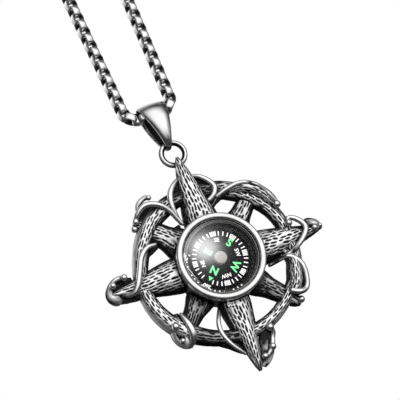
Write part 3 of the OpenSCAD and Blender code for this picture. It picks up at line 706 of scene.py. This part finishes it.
bm = branch_mesh()
edge = arc(HUB_R - HUB_EDGE, HUB_BACK + HUB_EDGE, HUB_EDGE, -90, 0, 5)
turned(bm, [(0, HUB_BACK)] + edge + [(HUB_R, HUB_TOP), (0, HUB_TOP)])
layer = bm.verts.layers.float["patina"]
for vert in bm.verts:
    vert[layer] = BACK_BLACK if vert.co.z < HUB_BACK + HUB_EDGE / 3 else EDGE_BLACK
hung("hub_plate", closed_up(bm), cast_steel, crease=30)

# Bezel: turned stainless steel, pressed into the hub. Its rim is a full round bead with a mirror polish,
# and below the bead a fine groove and a plain wall go down into the casting.
BEZEL_R = 11.3
BEZEL_WALL = 1.6
BEZEL_CREST = 6.4
BEZEL_BASE = 0.45
BEZEL_FLOOR = 0.8
WALL_STEP = 0.1
GROOVE_STEP = 0.18
GROOVE_Z = 5.5
# The bead is a little flatter than a half circle
BEAD_RISE = 0.55
# Polished bezel steel: a mirror on the bead, darkening to black down the wall
bezel_steel = antiqued_steel("polished_bezel_steel", "#DFDFDF", "#0B0B0C", 0.16, 0.6, 4)

bead = BEZEL_WALL / 2
crest = [
    (r, BEZEL_CREST - BEAD_RISE + BEAD_RISE * (z - BEZEL_CREST + bead) / bead)
    for r, z in arc(BEZEL_R - bead, BEZEL_CREST - bead, bead, -20, 180, 36)
]
# Points along the plain wall, between which the black fades
wall = [(BEZEL_R - WALL_STEP, z) for z in (BEZEL_BASE, 2.2, 3.4, 4.2, 4.9)]
inside = [(r, BEZEL_BASE + BEZEL_FLOOR) for r in (BEZEL_R - BEZEL_WALL, 0)]
bm = branch_mesh()
turned(bm, [(0, BEZEL_BASE)] + wall + [(BEZEL_R - GROOVE_STEP, GROOVE_Z)] + crest + inside, steps=192)
layer = bm.verts.layers.float["patina"]
for vert in bm.verts:
    if math.hypot(vert.co.x, vert.co.y) < BEZEL_R - bead:
        vert[layer] = float(1 - ramp(vert.co.z, 5.2, 5.8))
    else:
        vert[layer] = float(1 - ramp(vert.co.z, 3.3, 5.2))
bezel = hung("bezel_ring", closed_up(bm), bezel_steel, crease=30)
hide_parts("bezel")

# Capsule: the compass's moulded case, one piece of black plastic that is pressed into the bezel.
# It is a round well for the card, with a fixed degree ring about it.
CAPSULE_R = 9.65
CAPSULE_BASE = 1.3
WELL_R = 7.95
WELL_FLOOR = 2.1
RING_TOP = 3.5
# Black moulded plastic: dull, with the fine grain of its mould
black_plastic, tree = new_material("black_moulded_plastic")
place = add(tree, "ShaderNodeTexCoord").outputs["Object"]
texture = add(
    tree, "ShaderNodeTexNoise", {"Scale": 1000 / 0.2, "Detail": 2.0}, {"Vector": place}
).outputs["Fac"]
bump = add(
    tree, "ShaderNodeBump", {"Strength": 0.15, "Distance": 0.00002}, {"Height": texture}
).outputs["Normal"]
shader = add(
    tree, "ShaderNodeBsdfPrincipled",
    {"Base Color": linear("#0A0A0B"), "Roughness": 0.4, "IOR": 1.5, "Specular IOR Level": 0.15},
    {"Normal": bump},
)
add(tree, "ShaderNodeOutputMaterial", None, {"Surface": shader.outputs[0]})
bm = branch_mesh()
turned(bm, [(0, CAPSULE_BASE), (CAPSULE_R, CAPSULE_BASE), (CAPSULE_R, RING_TOP), (WELL_R, RING_TOP),
            (WELL_R, WELL_FLOOR), (0, WELL_FLOOR)])
capsule = hung("capsule_case", closed_up(bm), black_plastic, crease=30)
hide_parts("capsule")

# Printed marks: ink pad-printed on the degree ring, a few hundredths of a millimetre thick.
# Every fifth mark is a number and the others are dots, white on one side and, as painted shade, dark grey on
# the other.
INK = 0.03
MARK_STEP = 8
MARKS_PER_NUMBER = 5
# Degrees round the dial to the first number, to the middle of the white marks, and half the span of these
FIRST_NUMBER = 224.5
WHITE_SIDE = 230
WHITE_HALF = 62
NUMBER_SIZE = 1.3
NUMBER_WEIGHT = 0.045
NUMBER_R = 8.0
DOT_SIZE = 0.2
DOT_R = 8.5


def mottled(name, hex_colour, patch_mm, smooth, rough, surface, detail=2.0):
    """A plain material that is smoother and rougher in patches of a size in millimetres."""
    made, tree = new_material(name)
    place = add(tree, "ShaderNodeTexCoord").outputs["Object"]
    patches = add(
        tree, "ShaderNodeTexNoise", {"Scale": 1000 / patch_mm, "Detail": detail}, {"Vector": place}
    ).outputs["Fac"]
    roughness = add(
        tree, "ShaderNodeMapRange", {"To Min": smooth, "To Max": rough}, {"Value": patches}
    ).outputs["Result"]
    shader = add(
        tree, "ShaderNodeBsdfPrincipled",
        {"Base Color": linear(hex_colour)} | surface, {"Roughness": roughness},
    )
    add(tree, "ShaderNodeOutputMaterial", None, {"Surface": shader.outputs[0]})
    return made


# Printing inks: matt, opaque films, white, a dark grey that is painted shade, and a bright green
white_ink = mottled("white_printing_ink", "#FBFBFA", 0.3, 0.4, 0.6, {"IOR": 1.5})
shade_grey_ink = mottled("shade_grey_printing_ink", "#2B2B2D", 0.3, 0.4, 0.6, {"IOR": 1.5})
green_ink = mottled("green_luminous_ink", "#7EF29F", 0.3, 0.4, 0.6, {"IOR": 1.5})


def printed(bm, words, size, weight, radius, angle, height):
    """Letters or numbers whose tops point outwards, laid on a disc at a radius and an angle."""
    curve = bpy.data.curves.new("print", "FONT")
    curve.body = words
    curve.size = size
    curve.offset = weight
    curve.extrude = INK / 2
    curve.resolution_u = 3
    curve.align_x = "CENTER"
    curve.align_y = "CENTER"
    holder = bpy.data.objects.new("print", curve)
    bpy.context.scene.collection.objects.link(holder)
    bpy.context.view_layer.update()
    mesh = bpy.data.meshes.new_from_object(holder.evaluated_get(bpy.context.evaluated_depsgraph_get()))
    bpy.data.objects.remove(holder)
    before = len(bm.verts)
    bm.from_mesh(mesh)
    bm.verts.ensure_lookup_table()
    made = bm.verts[before:]
    xs, ys = [v.co.x for v in made], [v.co.y for v in made]
    middle = Vector(((min(xs) + max(xs)) / 2, (min(ys) + max(ys)) / 2, 0))
    turn = Matrix.Rotation(math.radians(angle), 4, "Z")
    where = turn @ Matrix.Translation((radius, 0, height)) @ Matrix.Rotation(math.radians(-90), 4, "Z")
    bmesh.ops.transform(bm, matrix=where @ Matrix.Translation(-middle), verts=made)


def bar(bm, inner, outer, width, angle, height):
    """A straight tick along a radius."""
    made = bmesh.ops.create_cube(bm, size=1)["verts"]
    bmesh.ops.scale(bm, vec=(outer - inner, width, INK), verts=made)
    bmesh.ops.translate(bm, vec=((inner + outer) / 2, 0, height), verts=made)
    bmesh.ops.rotate(bm, matrix=Matrix.Rotation(math.radians(angle), 3, "Z"), verts=made)


# Painted shade: marks away from the white side are printed dark grey
for name, finish, white in (("degree_marks", white_ink, True), ("degree_marks_in_shade", shade_grey_ink, False)):
    bm = bmesh.new()
    for k in range(360 // MARK_STEP):
        angle = FIRST_NUMBER + MARK_STEP * k
        away = abs((angle - WHITE_SIDE + 180) % 360 - 180)
        if white != (away < WHITE_HALF):
            continue
        if k % MARKS_PER_NUMBER == 0:
            degrees = f"{360 - MARK_STEP * k:03d}"
            printed(bm, degrees, NUMBER_SIZE, NUMBER_WEIGHT, NUMBER_R, angle, RING_TOP + INK / 2)
        else:
            made = bmesh.ops.create_circle(bm, segments=12, radius=DOT_SIZE, cap_ends=True)["verts"]
            bmesh.ops.translate(bm, vec=(DOT_R, 0, RING_TOP + INK), verts=made)
            bmesh.ops.rotate(bm, matrix=Matrix.Rotation(math.radians(angle), 3, "Z"), verts=made)
    hung(name, bm, finish, crease=30)

# Card: the turning disc of the compass, printed black with white ticks and green and white letters.
# Its north stands at the lower left, as in the photograph.
CARD_TOP = 3.6
CARD_T = 0.3
CARD_R = 7.47
CARD_BORE = 0.9
CARD_EDGE = 0.04
NORTH = 222
# Ticks stand at 32 places, a little behind their degree. Every fourth place has a block of four ticks,
# apart from north, which has an arrow. Between two blocks the outer single ticks stand closer to the
# middle one.
TICK_PLACES = 32
TICK_BEHIND = 1.5
TICK_CLOSER = 1.3
TICK_W = 0.28
SINGLE_ENDS = (6.0, 7.1)
BLOCK_ENDS = (5.9, 7.15)
BLOCK_STEP = 3.5
# Letters: words, angle from north, distance out
SMALL_LETTERS = [("NW", 46, 4.65), ("SW", 139, 4.75), ("SE", 217.5, 4.88), ("NE", 317, 4.6)]
LARGE_LETTERS = [("N", 2.5, 3.55), ("W", 92, 4.2), ("S", 178, 4.88), ("E", 269, 3.4)]
SMALL_SIZE = 1.4
SMALL_WEIGHT = 0.035
LARGE_SIZE = 2.75
LARGE_WEIGHT = 0.09
ARROW_SIZE = 0.75
ARROW_R = 5.8
ARROW_TURN = 2.5
# Black printed card: a deep matt black with next to no shine
card_black = mottled(
    "black_printed_card", "#0C0C10", 1.5, 0.45, 0.6, {"IOR": 1.5, "Specular IOR Level": 0.06}, detail=3.0
)
bm = branch_mesh()
turned(bm, [(CARD_BORE, CARD_TOP - CARD_T), (CARD_R, CARD_TOP - CARD_T), (CARD_R, CARD_TOP - CARD_EDGE),
            (CARD_R - CARD_EDGE, CARD_TOP), (CARD_BORE, CARD_TOP)])
card = hung("card_disc", closed_up(bm), card_black, body="card", crease=30)
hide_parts("card")
on_card = CARD_TOP + INK / 2
bm = bmesh.new()
for k in range(TICK_PLACES):
    angle = NORTH + 360 / TICK_PLACES * k - TICK_BEHIND
    if k % 4:
        bar(bm, *SINGLE_ENDS, TICK_W, angle - TICK_CLOSER * (k % 4 - 2), on_card)
    elif k:
        for step in (-1.5, -0.5, 0.5, 1.5):
            bar(bm, *BLOCK_ENDS, TICK_W, angle + BLOCK_STEP * step, on_card)
for words, turn, radius in SMALL_LETTERS:
    printed(bm, words, SMALL_SIZE, SMALL_WEIGHT, radius, NORTH + turn, on_card)
hung("card_white_marks", bm, white_ink, body="card", crease=30)
bm = bmesh.new()
for words, turn, radius in LARGE_LETTERS:
    printed(bm, words, LARGE_SIZE, LARGE_WEIGHT, radius, NORTH + turn, on_card)
made = bmesh.ops.create_circle(bm, segments=3, radius=ARROW_SIZE, cap_ends=True)["verts"]
bmesh.ops.rotate(bm, matrix=Matrix.Rotation(math.radians(-90), 3, "Z"), verts=made)
bmesh.ops.translate(bm, vec=(ARROW_R, 0, CARD_TOP + INK), verts=made)
bmesh.ops.rotate(bm, matrix=Matrix.Rotation(math.radians(NORTH + ARROW_TURN), 3, "Z"), verts=made)
hung("card_green_marks", bm, green_ink, body="card", crease=30)

# Cap: a small spun cap over the jewel that the card turns on. Its stem goes through the card's bore,
# its flange lies on the card, and its top is a flat button with a rounded edge.
CAP_STEM = [(0, 2.8), (0.85, 2.8)]
CAP_FLANGE = [(0.85, 3.64), (1.7, 3.64), (1.7, 3.8), (1.62, 3.88), (1.3, 3.95)]
CAP_BUTTON = [(1.3, 4.3), (1.6, 4.4)]
CAP_TOP = 4.82
CAP_EDGE = 0.12
CAP_R = 1.62
# Spun aluminium: a warm grey sheen, unevenly dulled by the spinning
spun_aluminium = mottled("spun_aluminium", "#B3B0AB", 0.5, 0.3, 0.45, {"Metallic": 1.0})
bm = branch_mesh()
edge = arc(CAP_R - CAP_EDGE, CAP_TOP - CAP_EDGE, CAP_EDGE, 0, 90, 4)
turned(bm, CAP_STEM + CAP_FLANGE + CAP_BUTTON + edge + [(0, CAP_TOP)], steps=96)
cap = hung("card_cap", closed_up(bm), spun_aluminium, body="card", crease=30)
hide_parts("card_hub")

# Pivot pin: a turned brass post, fixed in the case's floor and hidden under the cap.
# The solid has its shape already.
# Turned brass: yellow and bright, with faint marks from the lathe
turned_brass = mottled("turned_brass", "#C9A35A", 0.2, 0.2, 0.4, {"Metallic": 1.0})
for slot in frame["nodes"]["pivot_pin"].material_slots:
    slot.material = turned_brass

# Cover: a clear moulded lens, slightly domed, snapped in below the bead. A skirt round its edge
# stands on the degree ring.
COVER_TOP = 6.05
COVER_T = 0.9
DOME_R = 60
LENS_R = 9.0
SKIRT_IN = 9.05
SKIRT_OUT = 9.64
SKIRT_BASE = 3.55
SHOULDER_Z = 5.25
SHOULDER_R = 0.2
# Clear acrylic: a dark dial seen through it stays dark, and a lamp in it is a broad pale glare
clear_acrylic = mottled("clear_acrylic", "#101012", 4, 0.18, 0.2, {"IOR": 1.5, "Alpha": 0.05}, detail=1.0)
dome = [(r, COVER_TOP - r * r / (2 * DOME_R)) for r in np.linspace(LENS_R, 0, 19)]
under = [(r, z - COVER_T) for r, z in reversed(dome)]
skirt = [(SKIRT_IN, SKIRT_BASE), (SKIRT_OUT, SKIRT_BASE), (SKIRT_OUT, SHOULDER_Z)]
shoulder = arc(SKIRT_OUT - SHOULDER_R, SHOULDER_Z, SHOULDER_R, 0, 80, 4)
bm = branch_mesh()
turned(bm, under + skirt + shoulder + dome)
cover = hung("clear_cover", closed_up(bm), clear_acrylic, crease=30)
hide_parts("window")

# Trim ring: fine bright aluminium wire laid round the cover's rounded edge, just inside the bead.
# It shows as a thin pale line round the dial.
TRIM_R = 9.4
TRIM_Z = 5.5
TRIM_WIRE = 0.2
bm = branch_mesh()
wire_ring(bm, TRIM_R, TRIM_WIRE, segments=10, steps=160)
bmesh.ops.translate(bm, vec=(0, 0, TRIM_Z), verts=bm.verts)
hung("trim_ring", closed_up(bm), spun_aluminium, crease=60)

# Bail: a band of polished steel, tapered from a broad domed top to a narrow foot and closed to an egg shape.
# Its inside is blackened. It sits a little to one side on the chain, as in the photograph.
BAIL_H = 13.4
BAIL_D = 8.2
BAIL_W = 7.6
BAIL_FOOT_W = 1.4
BAIL_T = 0.9
BAIL_EGG = 0.15
BAIL_CROWN = 1.1
BAIL_SLIDE = 0.8
BAIL_GAP = 0.12
# Powers that shape the band: how it narrows to its foot, and how full its edges and its faces are
FOOT_POWER = 1.3
EDGE_POWER = 0.8
FACE_POWER = 0.75
# The chain that runs through it: its radius, the gap of its strands, their spread and their bends
CHAIN_R = 1.6
STRAND_GAP = 13.2
SPREAD = math.radians(1.3)
BEND_R = 3.5
foot_x = STRAND_GAP / 2
run_half = foot_x - BEND_R * math.cos(SPREAD)
run_z = joint_place("bail_swing")[2] / MM
bail_over = BAIL_SLIDE + BAIL_W / 2 - run_half
bail_top = run_z + CHAIN_R + BAIL_GAP + BEND_R - math.sqrt(BEND_R ** 2 - bail_over ** 2) + BAIL_T
band_d, band_h = BAIL_D - BAIL_T, BAIL_H - BAIL_T
bail_mid = bail_top - BAIL_H / 2
# Polished bail steel: a soft mirror outside, and black oxide left on the inside
bail_steel = antiqued_steel("polished_bail_steel", "#E0E0E0", "#101011", 0.16, 1.2, 1.5)
bm = branch_mesh()
layer = bm.verts.layers.float["patina"]
for vert in bmesh.ops.create_grid(bm, x_segments=64, y_segments=160, size=1)["verts"]:
    # a runs round the loop from its top, and k round the band's own section
    a = (vert.co.y + 1) * math.pi
    k = (vert.co.x + 1) * math.pi
    middle_y = band_d / 2 * math.sin(a) * (1 + BAIL_EGG * math.cos(a))
    centre = Vector((BAIL_SLIDE, middle_y, bail_mid + band_h / 2 * math.cos(a)))
    along_y = band_d / 2 * (math.cos(a) + BAIL_EGG * math.cos(2 * a))
    along = Vector((0, along_y, -band_h / 2 * math.sin(a))).normalized()
    out = Vector((1, 0, 0)).cross(along)
    below = max(0.5 - math.cos(a) / 2, 0)
    half = (BAIL_FOOT_W + (BAIL_W - BAIL_FOOT_W) * (1 - below ** FOOT_POWER)) / 2
    c, s = math.cos(k), math.sin(k)
    wide = math.copysign(abs(c) ** EDGE_POWER, c)
    thick = BAIL_T / 2 * math.copysign(abs(s) ** FACE_POWER, s)
    crown = BAIL_CROWN * abs(math.sin(a)) * half / BAIL_W * 2 * wide ** 2
    vert.co = centre + Vector((half * wide, 0, 0)) + out * (thick - crown)
    vert[layer] = float(1 - ramp(s, -0.95, -0.6))
closed_up(bm)
bmesh.ops.scale(bm, vec=(MM, MM, MM), verts=bm.verts)
bail = piece("bail_band", bm, bail_steel, "bail")
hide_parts("bail")

# Chain: round box chain of stainless wire. Every link is a short rounded loop of flattened wire,
# and each is turned a quarter against the next.
CHAIN_LENGTH = 600
CLASP_L = 13
CLASP_DROP = 18
LINK_PITCH = 2.0867
# Section of the flattened wire, as width across and height out from the loop's middle line
SECTION = [
    (-1.03, 0.05), (-0.9, 0.18), (-0.6, 0.27), (0.6, 0.27),
    (0.9, 0.18), (1.03, 0.05), (0.75, -0.22), (-0.75, -0.22),
]
LINK_R = 1.3
LINK_STRETCH = 1.12
# A link is a circle squared by this power. Points beside its corners are drawn towards them by this angle.
LINK_POWER = 2.5
CORNER_DRAW = math.radians(8)
LINK_STEPS = 12
# Strands are rolled about their own line by this many degrees. The roll sets in past the bail's run
# and ends below the top of the loop, each over a length of its own.
LINK_ROLL = 15
ROLL_SETS_IN = 6
ROLL_END = 290
ROLL_FADES = 10
# More chain goes into each bend than its middle line is long
BEND_SLACK = 0.725
# Distance from the middle of the run to a link that faces the front
FACING_LINK = 10.7
# The chain's direction at a link is taken over this length to each side
DIRECTION_STEP = 0.4
bend_l = BEND_R * (math.pi / 2 - SPREAD)
top_turn = math.pi / 2 + SPREAD
top_l = foot_x / math.cos(SPREAD) * top_turn
strand_l = (CHAIN_LENGTH / 2 - run_half - bend_l - top_l) / (1 + math.tan(SPREAD) * top_turn)
top_r = (foot_x + strand_l * math.sin(SPREAD)) / math.cos(SPREAD)
arc_z = CHAIN_R - top_r
foot_z = arc_z - top_r * math.sin(SPREAD) - strand_l * math.cos(SPREAD)
clasp_end = run_half + bend_l + strand_l - CLASP_DROP
clasp_start = clasp_end - CLASP_L


def loop_point(s):
    """The chain's middle line, by distance from the middle of its run through the bail."""
    if s < 0:
        p = loop_point(-s)
        return Vector((-p.x, 0, p.z))
    if s <= run_half:
        return Vector((s, 0, run_z))
    if s <= run_half + bend_l:
        a = (s - run_half) / BEND_R
        return Vector((run_half + BEND_R * math.sin(a), 0, run_z + BEND_R * (1 - math.cos(a))))
    if s <= run_half + bend_l + strand_l:
        up = s - run_half - bend_l
        return Vector((foot_x + up * math.sin(SPREAD), 0, foot_z + up * math.cos(SPREAD)))
    a = (s - run_half - bend_l - strand_l) / top_r - SPREAD
    return Vector((top_r * math.cos(a), 0, arc_z + top_r * math.sin(a)))


def laid(length):
    """The distance along the middle line at which a length of chain ends, from the middle of its run."""
    if length < -CHAIN_LENGTH / 2 - BEND_SLACK:
        length += CHAIN_LENGTH + 2 * BEND_SLACK
    bend_end = run_half + bend_l
    if abs(length) < bend_end + BEND_SLACK:
        return length * bend_end / (bend_end + BEND_SLACK)
    return length - math.copysign(BEND_SLACK, length)


# Polished chain wire: bright on the faces of the links, and black inside them, on their edges and where they
# nest, as painted shade
chain_steel = antiqued_steel("polished_chain_wire", "#F0F0F0", "#161617", 0.18, 0.8, 0.9)
first_link = math.ceil((clasp_end - BEND_SLACK - CHAIN_LENGTH - FACING_LINK) / LINK_PITCH + 0.5)
last_link = math.floor((clasp_start + BEND_SLACK - FACING_LINK) / LINK_PITCH - 0.5)
bm = branch_mesh()
layer = bm.verts.layers.float["patina"]
verts, edges = outline(bm, [(LINK_R + out, across, 0) for across, out in SECTION])
# Painted shade: the inside of each loop and the edges of its faces are darkened
for vert, (across, out) in zip(verts, SECTION):
    if out < 0:
        vert[layer] = 0.75
    elif abs(across) > 0.8:
        vert[layer] = 0.55
full_spin(bm, verts + edges, (0, 1, 0), LINK_STEPS)
bmesh.ops.recalc_face_normals(bm, faces=bm.faces)
for vert in bm.verts:
    a = math.atan2(vert.co.z, vert.co.x)
    out = math.hypot(vert.co.x, vert.co.z)
    a += CORNER_DRAW * math.sin(4 * a) / math.sin(8 * math.pi / LINK_STEPS)
    c, s = math.cos(a), math.sin(a)
    square = (abs(c) ** LINK_POWER + abs(s) ** LINK_POWER) ** (-1 / LINK_POWER)
    vert.co.x, vert.co.z = out * square * c, out * square * s * LINK_STRETCH
first = bm.verts[:] + bm.edges[:] + bm.faces[:]
for number in range(first_link, last_link + 1):
    s = laid(FACING_LINK + LINK_PITCH * number)
    before = loop_point(max(s - DIRECTION_STEP, -CHAIN_LENGTH / 2))
    after = loop_point(min(s + DIRECTION_STEP, CHAIN_LENGTH / 2))
    ahead = (after - before).normalized()
    set_in = min(max((abs(s) - run_half) / ROLL_SETS_IN, 0), 1)
    not_faded = min(max((ROLL_END - abs(s)) / ROLL_FADES, 0), 1)
    roll = math.copysign(math.radians(LINK_ROLL) * set_in * not_faded, ahead.z)
    across = Vector((0, 1, 0))
    basis = Matrix((across.cross(ahead), across, ahead)).transposed().to_4x4()
    quarter = Matrix.Rotation(math.pi / 2 * ((number + 1) % 2) + roll, 4, "Z")
    made = bmesh.ops.duplicate(bm, geom=first)["geom"]
    verts = [g for g in made if isinstance(g, bmesh.types.BMVert)]
    bmesh.ops.transform(bm, matrix=Matrix.Translation(loop_point(s)) @ basis @ quarter, verts=verts)
bmesh.ops.delete(bm, geom=[g for g in first if isinstance(g, bmesh.types.BMVert)], context="VERTS")
bmesh.ops.scale(bm, vec=(MM, MM, MM), verts=bm.verts)
links = piece("chain_links", bm, chain_steel, "necklace", crease=60)
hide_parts("chain")

# Clasp: a plain steel closing that joins the chain's ends high up on one strand.
# The solid has its shape already.
# Satin steel: darker and softer than the links, so that it stays in sight against a white wall
clasp_steel = mottled("satin_clasp_steel", "#868686", 1.5, 0.28, 0.42, {"Metallic": 1.0})
for slot in frame["nodes"]["clasp"].material_slots:
    slot.material = clasp_steel

# Studio: a pale paper floor well below the hanging pendant, in a pale room with soft lights and soft boxes.
# The room is white to the eye and dim in the metal, as with a lit paper backdrop.
FLOOR_HALF = 6
FLOOR_Z = -0.64
# Pale paper: matt and nearly white, with broad cloudy patches
paper = mottled("pale_paper", "#EFEFEF", 100 / 3, 0.7, 0.9, {})
bm = bmesh.new()
bmesh.ops.create_grid(bm, x_segments=1, y_segments=1, size=FLOOR_HALF)
bmesh.ops.translate(bm, vec=(0, 0, FLOOR_Z), verts=bm.verts)
mesh = bpy.data.meshes.new("floor")
bm.to_mesh(mesh)
bm.free()
mesh.materials.append(paper)
floor = bpy.data.objects.new("floor", mesh)
bpy.context.scene.collection.objects.link(floor)
floor.visible_glossy = False
floor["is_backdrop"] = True

upright = hang.to_3x3().normalized()
front = (upright @ Vector((0.13, 0.40, 0.90))).normalized()
side = (upright @ Vector((0.80, 0.05, 0.55))).normalized()
behind = (upright @ Vector((0.25, 0.30, -0.95))).normalized()
left = Vector((-0.76, 0.55, 0.33)).normalized()
above = Vector((-0.15, 0.64, 0.74)).normalized()
# Soft lights of the room: direction, the cosines at which each sets in and is full, strength.
# The first and the fourth light the crests, the second and the third draw the edges that face up and
# left, and the last one lights the star's back.
SOFT_LIGHTS = [
    (front, 0.45, 0.97, 1.38), (above, 0.6, 0.95, 0.5), (left, 0.7, 0.95, 0.6), (side, 0.8, 0.97, 0.45),
    (behind, 0.6, 0.97, 0.4),
]
ROOM_LIGHT = 0.03
world = bpy.data.worlds.new("studio")
bpy.context.scene.world = world
world.use_nodes = True
tree = world.node_tree
tree.nodes.clear()
sky = add(tree, "ShaderNodeTexCoord").outputs["Generated"]
glow = add(tree, "ShaderNodeValue").outputs[0]
glow.default_value = ROOM_LIGHT
for direction, edge, full, strength in SOFT_LIGHTS:
    facing = add(
        tree, "ShaderNodeVectorMath", {1: direction}, {0: sky}, operation="DOT_PRODUCT"
    ).outputs["Value"]
    lobe = add(
        tree, "ShaderNodeMapRange", {"From Min": edge, "From Max": full, "To Max": strength},
        {"Value": facing}, interpolation_type="SMOOTHSTEP",
    ).outputs["Result"]
    glow = add(tree, "ShaderNodeMath", None, {0: glow, 1: lobe}, operation="ADD").outputs[0]
seen = add(tree, "ShaderNodeLightPath").outputs["Is Camera Ray"]
white_to_camera = add(
    tree, "ShaderNodeMix", {"B": 1.0}, {"Factor": seen, "A": glow}, data_type="FLOAT"
).outputs["Result"]
background = add(tree, "ShaderNodeBackground", {"Color": (1, 1, 1, 1)}, {"Strength": white_to_camera})
add(tree, "ShaderNodeOutputWorld", None, {"Surface": background.outputs[0]})

# Both soft boxes stand a metre from the middle of the cover and face it
SOFT_BOX_AWAY = 1.0
cover_middle = hang @ Vector((0, 0, COVER_TOP))


def soft_box(name, size, energy, direction):
    """A round lamp in a direction from the cover, which the camera doesn't see."""
    lamp = bpy.data.lights.new(name, "AREA")
    lamp.shape = "DISK"
    lamp.size = size
    lamp.energy = energy
    made = bpy.data.objects.new(name, lamp)
    bpy.context.scene.collection.objects.link(made)
    made.location = cover_middle + direction * SOFT_BOX_AWAY
    made.rotation_euler = direction.to_track_quat("Z", "Y").to_euler()
    made.visible_camera = False
    return made


# The glare on the clear cover has a soft box to itself. Sampling the cover's reflections of it as well would
# leave bright specks on the dark dial.
glare = soft_box("cover_soft_box", 0.22, 36, (upright @ Vector((0.148, 0.335, 0.925))).normalized())
glare.data.cycles.use_multiple_importance_sampling = False
only_cover = bpy.data.collections.new("lit_by_soft_box")
only_cover.objects.link(cover)
glare.light_linking.receiver_collection = only_cover

# The key light falls on the dial and on the black oxide. The bright metal doesn't mirror it.
key = soft_box("key_soft_box", 0.35, 9, front)
key.visible_glossy = False

# Camera: a long lens from below and to the left, rolled as the photograph is
VIEW_AZIMUTH = math.radians(-18.25)
VIEW_ELEVATION = math.radians(-17.54)
VIEW_ROLL = math.radians(-24.45)
# Metres to the point that it aims at, and that point's place in mm, right of and above the star's middle
DISTANCE = 0.65
AIM_RIGHT = -4.415
AIM_UP = 15.66
# Width that it sees at that distance
FIELD_MM = 99.8
SENSOR_MM = 36
back = Vector((
    math.sin(VIEW_AZIMUTH) * math.cos(VIEW_ELEVATION),
    -math.cos(VIEW_AZIMUTH) * math.cos(VIEW_ELEVATION),
    math.sin(VIEW_ELEVATION),
))
level = Vector((math.cos(VIEW_AZIMUTH), math.sin(VIEW_AZIMUTH), 0))
over = back.cross(level)
right = level * math.cos(VIEW_ROLL) + over * math.sin(VIEW_ROLL)
up = back.cross(right)
aim = hang.translation + (AIM_RIGHT * right + AIM_UP * up) * MM
camera_data = bpy.data.cameras.new("camera")
camera_data.lens = SENSOR_MM * DISTANCE / (FIELD_MM * MM)
camera_data.sensor_width = SENSOR_MM
camera_data.clip_start, camera_data.clip_end = 0.01, 50
camera = bpy.data.objects.new("camera", camera_data)
bpy.context.scene.collection.objects.link(camera)
axes = Matrix((right, up, back)).transposed().to_4x4()
camera.matrix_world = Matrix.Translation(aim + back * DISTANCE) @ axes
bpy.context.scene.camera = camera
bpy.context.scene.view_settings.view_transform = "Standard"

low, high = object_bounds()
